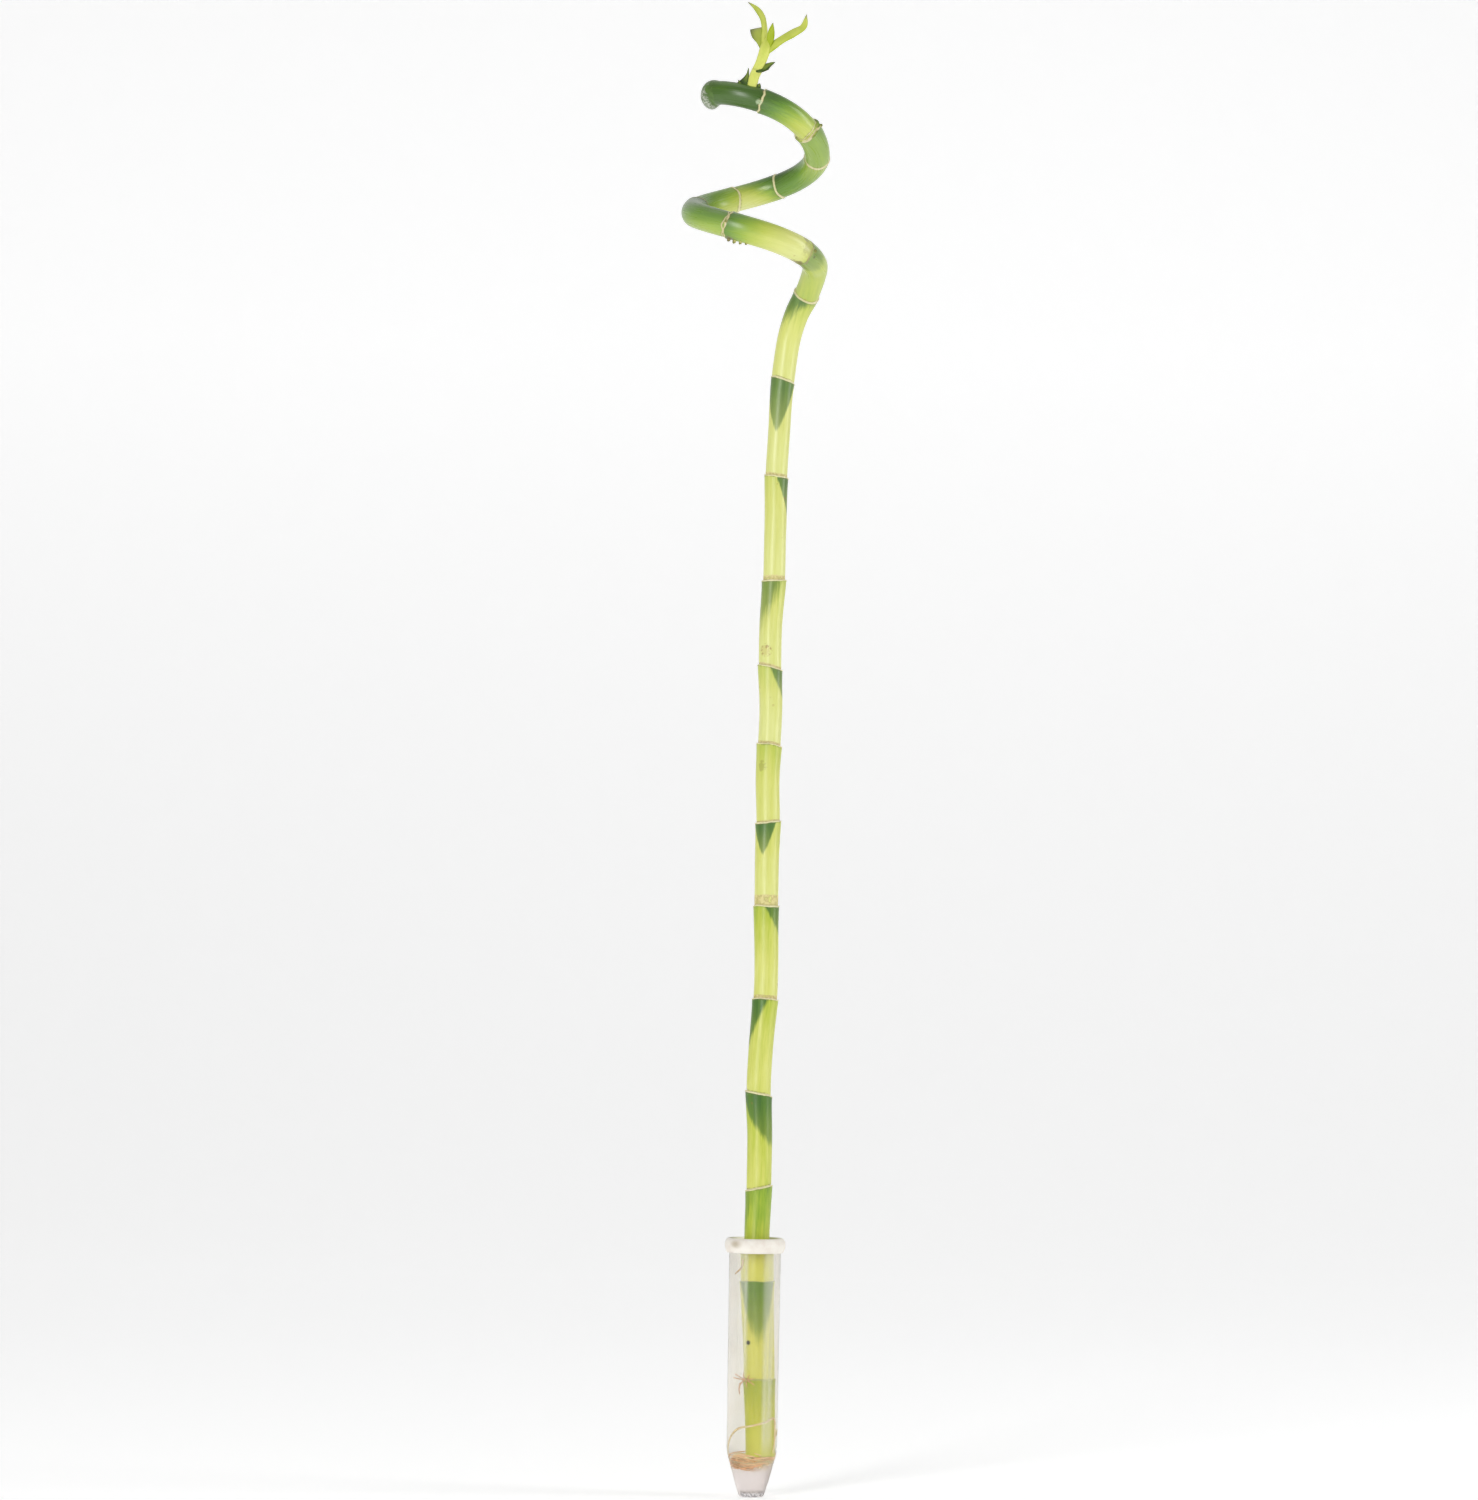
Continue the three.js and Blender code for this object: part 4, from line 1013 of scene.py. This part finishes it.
def cane_finish(plant):
    """Living cane: greens by tone with lengthwise streaks, yellower under water, with sheath marks, whitish
    bloom that is partly a painted sheen, cream rings with a brown lip, corky bands, freckles and stains. On
    the coil the tone also holds a painted shade on the upper side."""
    f = Finish("cane_skin", Specular_IOR_Level=0.5)
    grain, place = f.place("grain"), f.place()
    broad = f.noise(grain, 0.5, 2.0)
    streak = f.noise(grain, 1.3, 3.0)
    fine = f.noise(grain, 4.0, 2.0)
    cloud = f.noise(place, 70.0, 2.0)
    speck = f.noise(place, 900.0, 2.0)
    height = f.height()
    wound = height.step(*COIL_START)
    lively = 1 - wound * 0.6
    streaks = (broad - 0.5) * 0.3 + (streak - 0.5) * 0.26 + (fine - 0.5) * 0.14
    tone = f.field("tone") + streaks * lively + (cloud - 0.5) * 0.14
    f.colour = f.ramp(tone, [
        (0.0, plant.pale), (0.22, linear(216, 219, 110)), (0.42, linear(188, 201, 68)),
        (0.6, linear(148, 178, 48)), (0.8, linear(100, 144, 30)), (1.0, plant.deep),
    ])
    wet = height.step(*WATER_LINE)
    f.lay(wet * 0.42, linear(220, 212, 24))
    edge = f.field("mark") + (streak - 0.5) * 2.0 + (fine - 0.5) * 1.2
    mark = edge.step(-0.7, 1.0) * f.field("strength")
    dark = f.mix(broad.step(0.3, 0.7), plant.mark, linear(66, 108, 40))
    f.lay(mark, f.mix(wet, dark, linear(92, 134, 10)))
    # Whitish bloom, partly a painted sheen, with more on the coil's palest skin
    f.lay(f.field("bloom") * (0.3 + cloud * 0.4) * (1 - mark * 0.5), plant.bloom)
    wander = f.noise(place, 420.0)
    ring = f.field("ring") + (wander - 0.5) * 0.9
    lip = ring.step(2.6, 1.3) * (speck + wander).step(0.8, 1.15) * (1 - wet * 0.75)
    f.lay(lip * 0.55, linear(118, 110, 60))
    cream = f.mix(speck, plant.ring, linear(220, 208, 156))
    cream = f.mix(f.field("cream"), linear(146, 124, 80), cream)
    f.lay(ring.step(1.25, 0.8) * (1 - wet * 0.75), cream)
    cork = (f.field("cork") + (speck - 0.5) * 2.4 + (wander - 0.5) * 3.0).step(0.0, 0.8)
    bark = f.mix((speck * 0.5 + wander * 0.5).step(0.36, 0.56), linear(166, 140, 86), linear(226, 210, 150))
    bark = f.mix(f.field("cork").step(1.2, 2.6), bark, linear(104, 96, 52))
    f.lay(cork * 0.75, bark)
    spots = f.number("Distance", "ShaderNodeTexVoronoi", None, {"Vector": place, "Scale": 260.0})
    freckle = (spots + (speck - 0.5) * 0.2).step(0.2, 0.1)
    freckle = freckle * f.noise(place, 48.0, 1.0).step(0.62, 0.72)
    stained = f.distance(place, FRECKLED_SPOT).step(0.0034, 0.0018) * (speck + wander).step(0.92, 1.1)
    f.lay((freckle * 0.6).most(stained * 0.7), linear(158, 118, 62))
    for spot, reach, ragged, strong, tint in STAINS:
        away = f.distance(place, spot) + (speck + wander - 1) * (ragged * reach)
        f.lay(away.step(reach, reach * 0.45) * strong, linear(*tint))
    f.set("Base Color", f.colour)
    f.set("Roughness", 0.34 - wound * 0.06 + (streak - 0.5) * 0.08 + cork * 0.3)
    f.bump(streak * 0.6 + fine * 0.3 + cork * speck * 1.5 + lip * 0.3, 0.00012, 0.6)
    return f.material


def wax_finish(plant):
    """A thin film of wax over dark green: clear near the cane, then clotted grey to the rim and the drip."""
    f = Finish("wax_skin", Specular_IOR_Level=0.5, Sheen_Weight=0.5, Sheen_Roughness=0.35)
    place = f.place()
    layers = f.noise(place, 520.0, 3.0)
    clots = f.noise(place, 1500.0, 2.0)
    along = f.field("along")
    film_and_painted_glare = along * 1.5 + f.field("low") * 0.75 + (layers - 0.5) * 2.2
    veil_and_painted_glare = film_and_painted_glare.step(0.35, 0.85) * along.step(0.05, 0.3) * 0.95
    green = f.mix(layers.step(0.4, 0.65), linear(86, 118, 50), linear(72, 102, 38))
    clotted = f.mix(clots.step(0.42, 0.58), linear(106, 122, 90), plant.wax)
    f.set("Base Color", f.mix(veil_and_painted_glare, green, clotted))
    f.set("Roughness", 0.28 + layers * 0.25)
    f.bump(layers + clots * 0.4, 0.0004, 0.6)
    return f.material


def leaf_finish(plant):
    """Young leaves: pale green, richer by their looks and towards their edges, with fine lengthwise veins
    and a greyed tip."""
    f = Finish("young_leaf", Specular_IOR_Level=0.3)
    along, across = f.field("along"), f.field("across")
    cloud = f.noise(f.place(), 220.0, 2.0)
    vein = (across * 26).sine()
    rich = f.field("rich") + (cloud - 0.5) * 0.5 + (across * across).step(0.35, 1.0) * 0.35
    f.colour = f.mix(rich, plant.leaf, linear(164, 184, 12))
    f.lay(vein.step(0.1, 1.0) * 0.16, linear(150, 168, 52))
    tip = (along + (cloud - 0.5) * 0.12).step(0.9, 1.0) * 0.8
    f.lay(tip, linear(168, 166, 138))
    f.lay(f.field("dusk"), linear(96, 104, 58))
    f.set("Base Color", f.colour)
    f.set("Roughness", 0.42 + cloud * 0.12)
    f.bump(vein, 0.00006, 0.6)
    return f.material


def scale_finish(plant):
    """Dark scale leaves: ribbed, paler along the middle and dry brown at their edges."""
    f = Finish("dark_scale", Specular_IOR_Level=0.25)
    across = f.field("across")
    cloud = f.noise(f.place(), 500.0, 3.0)
    rib = (across * 22).sine()
    edge = (across * across + (cloud - 0.5) * 0.6).step(0.55, 1.0)
    f.colour = f.mix(cloud.step(0.3, 0.75), plant.scale, linear(84, 112, 48))
    middle = (across * across).step(0.5, 0.1) * f.field("along").step(0.15, 0.5)
    f.lay(middle * 0.55, linear(146, 164, 66))
    f.lay(edge * 0.6, linear(112, 100, 60))
    f.set("Base Color", f.colour)
    f.set("Roughness", 0.5 + cloud * 0.2)
    f.bump(rib * 0.4 + cloud, 0.0001, 0.6)
    return f.material


def root_finish(plant):
    """Water roots: cream to orange-brown as they are warm, yellower in places, browner as they are aged."""
    f = Finish("wet_root", Specular_IOR_Level=0.4)
    cloud = f.noise(f.place(), 260.0, 3.0)
    fine = f.noise(f.place(), 1400.0, 2.0)
    f.colour = f.mix(f.field("warm") + (cloud - 0.5) * 1.4, linear(255, 238, 186), plant.root)
    f.lay(cloud.step(0.52, 0.64) * 0.3, linear(196, 168, 96))
    f.lay(fine.step(0.56, 0.72) * 0.4, linear(158, 128, 70))
    f.lay(f.field("aged"), linear(128, 100, 66))
    f.set("Base Color", f.colour)
    f.set("Roughness", 0.4 + fine * 0.15)
    f.bump(fine, 0.0001, 0.5)
    f.let_light_in(0.86)
    return f.material


def tube_finish(holder):
    """Clear plastic with a faint greyish haze, frosted and pinker low down, scuffed at its foot, and with a
    painted highlight: a soft white band of daylight up the viewer's side at the left and at the right."""
    f = Finish("clear_tube", IOR=1.3, Transmission_Weight=1.0)
    place = f.place()
    smear = f.noise(f.place(stretch=(1, 1, 0.2)), 190.0, 3.0)
    speck = f.noise(place, 1100.0, 2.0)
    height = f.height()
    low, foot = height.step(0.02, 0.008), height.step(0.004, 0.001)
    f.colour = f.mix(smear.step(0.3, 0.8) * 0.4, holder.tube, linear(238, 237, 233))
    f.lay(low * 0.6, linear(250, 243, 245))
    f.lay(foot * speck.step(0.42, 0.58) * 0.8, linear(96, 92, 94))
    f.set("Base Color", f.colour)
    f.set("Roughness", 0.05 + smear.step(0.4, 0.8) * 0.12 + low * 0.3)
    f.bump(speck * low + smear * 0.3, 0.0002, 0.35)
    f.let_light_in(0.85)
    round_x, round_y = f.field("round_x"), f.field("round_y")
    # Painted highlight: soft white bands of daylight up the viewer's side of the tube, at the left and at the
    # right
    left = round_x.step(-0.7, -0.5) * round_x.step(-0.18, -0.36) * height.step(0.045, 0.062)
    right = round_x.step(0.28, 0.5) * round_x.step(0.86, 0.66) * height.step(0.012, 0.03)
    streaks = f.noise(f.place(stretch=(1, 1, 0.03)), 620.0, 2.0).step(0.3, 0.7)
    painted_highlight_band = (left + right) * (0.45 + streaks * 0.55) * round_y.step(0.1, -0.3)
    f.veil_and_painted_glare(painted_highlight_band * 0.26, linear(246, 245, 238), 0.85)
    return f.material


def water_finish(holder):
    """Clear water, a little cloudy in places."""
    f = Finish("still_water", IOR=1.33, Transmission_Weight=1.0)
    cloud = f.noise(f.place(), 90.0, 2.0)
    f.set("Base Color", f.mix(cloud.step(0.35, 0.75), holder.water, linear(252, 250, 244)))
    f.set("Roughness", cloud.step(0.4, 0.9) * 0.05)
    f.let_light_in(0.9)
    return f.material


def cap_finish(holder):
    """Soft white plastic with a brownish water stain at one side of its lip."""
    f = Finish("white_cap", Specular_IOR_Level=0.35)
    place = f.place()
    cloud = f.noise(place, 180.0, 4.0, 0.6)
    fine = f.noise(place, 900.0, 2.0)
    low = f.distance(f.place(stretch=(1, 1, STAIN_STRETCH)), CAP_STAIN)
    stain = (low + (cloud - 0.5) * 0.004).step(0.0042, 0.0004)
    f.colour = f.mix(cloud.step(0.35, 0.75), holder.cap, linear(234, 224, 212))
    f.lay(stain * 0.6, linear(168, 150, 110))
    f.set("Base Color", f.colour)
    f.set("Roughness", 0.42 + fine * 0.12)
    f.bump(cloud + fine * 0.3, 0.00015, 0.4)
    return f.material


def colour_setting(name, description, default):
    return bpy.props.FloatVectorProperty(
        name=name, description=description, default=default, subtype="COLOR", size=3, min=0, max=1)


class BambooPlantSettings(bpy.types.PropertyGroup):
    pale: colour_setting("Pale cane", "Colour of the palest internodes", linear(228, 231, 142))
    deep: colour_setting("Deep cane", "Colour of the darkest green on the coil", linear(62, 98, 24))
    mark: colour_setting("Sheath mark", "Dark tongues under the nodes", linear(88, 128, 44))
    # Whitish bloom, partly a painted sheen
    bloom: colour_setting("Bloom", "Whitish bloom on the skin", linear(214, 222, 196))
    ring: colour_setting("Node ring", "Cream rings at the nodes", linear(234, 231, 184))
    wax: colour_setting("Wax", "Wax over the cut end", linear(184, 188, 174))
    leaf: colour_setting("Leaf", "Young leaves and their stem", linear(228, 233, 120))
    scale: colour_setting("Scale leaf", "Dark scale leaves", linear(48, 74, 26))
    root: colour_setting("Root", "Water roots", linear(255, 192, 140))


class BambooHolderSettings(bpy.types.PropertyGroup):
    tube: colour_setting("Tube tint", "Tint of the clear tube", linear(247, 245, 241))
    water: colour_setting("Water tint", "Tint of the water", linear(254, 254, 251))
    cap: colour_setting("Cap", "Colour of the cap", linear(246, 241, 231))


class BambooStageSettings(bpy.types.PropertyGroup):
    backdrop: colour_setting("Backdrop", "Colour of the floor and backdrop", (0.93, 0.93, 0.93))
    lens: bpy.props.FloatProperty(
        name="Lens", description="Focal length for the photograph's view", default=121.27, min=20,
        unit="CAMERA")
    sky: bpy.props.FloatProperty(
        name="Sky", description="Strength of the even white light", default=0.22, min=0)
    soft_light: bpy.props.FloatProperty(
        name="Soft light", description="Power that each soft lamp has a share of", default=15, min=0,
        unit="POWER")


class BAMBOO_OT_cane(bpy.types.Operator):
    """Make the cane with its rings, marks, nubs and buds"""

    bl_idname = "bamboo.cane"
    bl_label = "Cane"

    def execute(self, context):
        finish = cane_finish(context.scene.bamboo_plant)
        grids = [cane_surface()] + [nub(*row) for row in NUBS]
        make_piece("bamboo_cane", grids, finish, ["cane"])
        return {"FINISHED"}


class BAMBOO_OT_wax(bpy.types.Operator):
    """Make the wax seal over the cut end"""

    bl_idname = "bamboo.wax"
    bl_label = "Wax seal"

    def execute(self, context):
        finish = wax_finish(context.scene.bamboo_plant)
        make_piece("bamboo_wax", [wax_surface()], finish, ["wax_seal"])
        return {"FINISHED"}


class BAMBOO_OT_shoot(bpy.types.Operator):
    """Make the leafy shoot: its stem and its leaves"""

    bl_idname = "bamboo.shoot"
    bl_label = "Leafy shoot"

    def execute(self, context):
        finish = leaf_finish(context.scene.bamboo_plant)
        grids = [stem_surface()] + [leaf(*row) for row in LEAVES.values()]
        make_piece("bamboo_shoot", grids, finish, ["leafy_shoot"])
        return {"FINISHED"}


class BAMBOO_OT_scales(bpy.types.Operator):
    """Make the dark scale leaves"""

    bl_idname = "bamboo.scales"
    bl_label = "Scale leaves"

    def execute(self, context):
        finish = scale_finish(context.scene.bamboo_plant)
        for node, blades in SCALES.items():
            grids = [blade(*row, SCALE_STEPS) for row in blades]
            make_piece("bamboo_" + node, grids, finish, [node])
        return {"FINISHED"}


def mat_strand(index):
    """A strand of the root mat: it winds out from under the foot to the wall, wandering up and down. Most
    lie near the middle height and few far above or below it."""
    start, wind, low, high, reach, phase = fixed_chance(6, MAT_SEED + index)
    way = 1 if index % 2 else -1
    share = np.linspace(0, 1, MAT_POINTS)
    angle = 2 * np.pi * start + way * share * (1.2 + 2.4 * wind)
    middle = MAT_MIDDLE + MAT_SPREAD * (low + high - 1)
    height = np.clip(middle + 1.4 * np.sin(4 * share + 6 * phase) * (0.3 + share), MAT_LOW, MAT_HIGH)
    wall = tube_radius(height) - TUBE_WALL - MAT_GAP
    outward = np.clip(share * 2.6, 0, 1) * (0.5 + 0.5 * reach)
    out = np.minimum(wall, MAT_INNER + (wall - MAT_INNER) * outward)
    return np.stack([out * np.cos(angle), out * np.sin(angle), height], axis=1)


def foot_roots():
    """The tangle at the foot: a lumpy core, the mat's strands and the long roots."""
    core = revolved(ROOT_CORE, CORE_SIDES)
    core = core + CORE_LUMPS * np.sin(core[..., :1] * 2.1 + core[..., 1:2] * 1.7)
    core[..., 0] += CORE_SHIFT
    grids = [(core, plain_fields(core, warm=0.6, aged=0.2))]
    for index in range(MAT_STRANDS):
        radius = 0.14 + 0.2 * fixed_chance(1, index)[0]
        grid = rod(mat_strand(index), radius, tip=0.1, steps=34, sides=7, rough=0.25, seed=index)
        warm, aged = fixed_chance(2, TINT_SEED + index)
        grids.append((grid, plain_fields(grid, warm=1.4 * warm - 0.2, aged=0.5 * aged ** 3)))
    for points in LONG_ROOTS:
        grid = rod(points, ROOT_RADIUS, tip=0.28, steps=120, sides=10, rough=0.2)
        grids.append((grid, plain_fields(grid, warm=0.2, aged=0.12)))
    return grids


class BAMBOO_OT_roots(bpy.types.Operator):
    """Make the roots: the tangle at the foot, the short ones at the lowest node and the upper one"""

    bl_idname = "bamboo.roots"
    bl_label = "Roots"

    def execute(self, context):
        finish = root_finish(context.scene.bamboo_plant)
        make_piece("bamboo_roots", foot_roots(), finish, ["roots_foot"])
        short = [rod(points, 0.24, tip=0.12, steps=30, sides=8, rough=0.4) for points in NODE_ROOTS]
        grids = [(grid, plain_fields(grid, warm=1, aged=0.3)) for grid in short]
        make_piece("bamboo_node_roots", grids, finish, ["roots_node"])
        upper = rod(UPPER_ROOT, 0.38, tip=0.22, steps=40, sides=10, rough=0.3)
        looks = plain_fields(upper, warm=0.5, aged=np.linspace(0.1, 0.6, 40))
        make_piece("bamboo_upper_root", [(upper, looks)], finish, ["root_upper"])
        return {"FINISHED"}


class BAMBOO_OT_holder(bpy.types.Operator):
    """Make the clear tube, its water and its cap"""

    bl_idname = "bamboo.holder"
    bl_label = "Tube, water and cap"

    def execute(self, context):
        holder = context.scene.bamboo_holder
        make_piece("bamboo_tube", [tube_surface()], tube_finish(holder), ["tube"])
        water = (revolved(water_profile()), {})
        make_piece("bamboo_water", [water], water_finish(holder), ["water"])
        ring_of(CAP_PROFILE, "bamboo_cap", cap_finish(holder), ["cap"])
        return {"FINISHED"}


def make_backdrop(colour):
    """Floor and wall with a quarter circle between them, bright enough to look white."""
    turn = np.radians(np.linspace(-90, 0, 24))
    middle = WALL_DEPTH - CORNER_RADIUS
    depth = np.concatenate([[FLOOR_START], middle + CORNER_RADIUS * np.cos(turn), [WALL_DEPTH]])
    height = np.concatenate([[0], CORNER_RADIUS + CORNER_RADIUS * np.sin(turn), [WALL_HEIGHT]])
    x, row = np.meshgrid([-HALF_WIDTH, HALF_WIDTH], np.arange(len(depth)))
    points = np.stack([x, depth[row], height[row]], axis=-1).reshape(-1, 3)
    a = 2 * np.arange(len(depth) - 1)
    quads = np.stack([a, a + 1, a + 3, a + 2], axis=1).tolist()
    paper = Finish("backdrop_paper", Roughness=0.9, Specular_IOR_Level=0.0, Emission_Strength=0.35)
    paper.set("Emission Color", (1.0, 1.0, 1.0))
    paper.set("Base Color", colour)
    backdrop = new_object("backdrop", smooth_mesh("backdrop", points, quads, paper.material))


def even_light(strength):
    """The same white light from every side."""
    world = bpy.data.worlds.new("even_light")
    world.use_nodes = True
    background = world.node_tree.nodes["Background"]
    background.inputs["Color"].default_value = (1, 1, 1, 1)
    background.inputs["Strength"].default_value = strength
    bpy.context.scene.world = world


def soft_lamp(name, place, wide, high, power):
    """An oblong soft light that looks at the middle of the plant."""
    lamp = bpy.data.lights.new(name, "AREA")
    lamp.shape = "RECTANGLE"
    lamp.size = wide
    lamp.size_y = high
    lamp.energy = power
    thing = new_object(name, lamp)
    thing.location = place
    x, y, z = np.array(place) - np.array([0, 0, LAMP_AIM])
    tilt = math.acos(z / np.linalg.norm([x, y, z]))
    thing.rotation_euler = (tilt, 0, math.atan2(y, x) + math.pi / 2)


def make_camera(lens):
    """The photograph's view: level, square to the plant and rolled a little, its axis off the middle."""
    camera = bpy.data.cameras.new("camera")
    camera.sensor_width = SENSOR
    camera.lens = lens
    camera.shift_x = (FRAME_WIDTH / 2 - AXIS_X) / FRAME_SIDE
    camera.shift_y = (AXIS_Y - FRAME_SIDE / 2) / FRAME_SIDE
    camera.clip_end = FAR
    viewer = new_object("camera", camera)
    viewer.location = (0, -CAMERA_DISTANCE, CAMERA_HEIGHT)
    viewer.rotation_euler = (math.pi / 2, -math.radians(ROLL), 0)
    bpy.context.scene.camera = viewer


class BAMBOO_OT_stage(bpy.types.Operator):
    """Make the floor, the backdrop, the lights and the camera"""

    bl_idname = "bamboo.stage"
    bl_label = "Stage"

    def execute(self, context):
        stage = context.scene.bamboo_stage
        make_backdrop(stage.backdrop)
        even_light(stage.sky)
        for name, (place, wide, high, share) in LAMPS.items():
            soft_lamp(name, place, wide, high, stage.soft_light * share)
        context.scene.view_settings.view_transform = "Standard"
        make_camera(stage.lens)
        return {"FINISHED"}


OPERATORS = (
    BAMBOO_OT_cane, BAMBOO_OT_wax, BAMBOO_OT_shoot, BAMBOO_OT_scales, BAMBOO_OT_roots, BAMBOO_OT_holder,
    BAMBOO_OT_stage,
)


class BAMBOO_PT_panel(bpy.types.Panel):
    """Lists the settings and the pieces"""

    bl_label = "Spiral Lucky Bamboo"
    bl_idname = "BAMBOO_PT_panel"
    bl_space_type = "VIEW_3D"
    bl_region_type = "UI"
    bl_category = "Bamboo"

    def draw(self, context):
        scene = context.scene
        for group in (scene.bamboo_plant, scene.bamboo_holder, scene.bamboo_stage):
            box = self.layout.box()
            for name in group.bl_rna.properties.keys():
                if name not in ("rna_type", "name"):
                    box.prop(group, name)
        for operator in OPERATORS:
            self.layout.operator(operator.bl_idname)


SETTINGS = {
    "bamboo_plant": BambooPlantSettings,
    "bamboo_holder": BambooHolderSettings,
    "bamboo_stage": BambooStageSettings,
}


def register():
    for cls in (*SETTINGS.values(), *OPERATORS, BAMBOO_PT_panel):
        bpy.utils.register_class(cls)
    for name, cls in SETTINGS.items():
        setattr(bpy.types.Scene, name, bpy.props.PointerProperty(type=cls))


def unregister():
    for name in SETTINGS:
        delattr(bpy.types.Scene, name)
    for cls in reversed((*SETTINGS.values(), *OPERATORS, BAMBOO_PT_panel)):
        bpy.utils.unregister_class(cls)


def main():
    register()
    bpy.ops.bamboo.stage()
    bpy.ops.bamboo.cane()
    bpy.ops.bamboo.wax()
    bpy.ops.bamboo.shoot()
    bpy.ops.bamboo.scales()
    bpy.ops.bamboo.roots()
    bpy.ops.bamboo.holder()


if __name__ == "__main__":
    main()
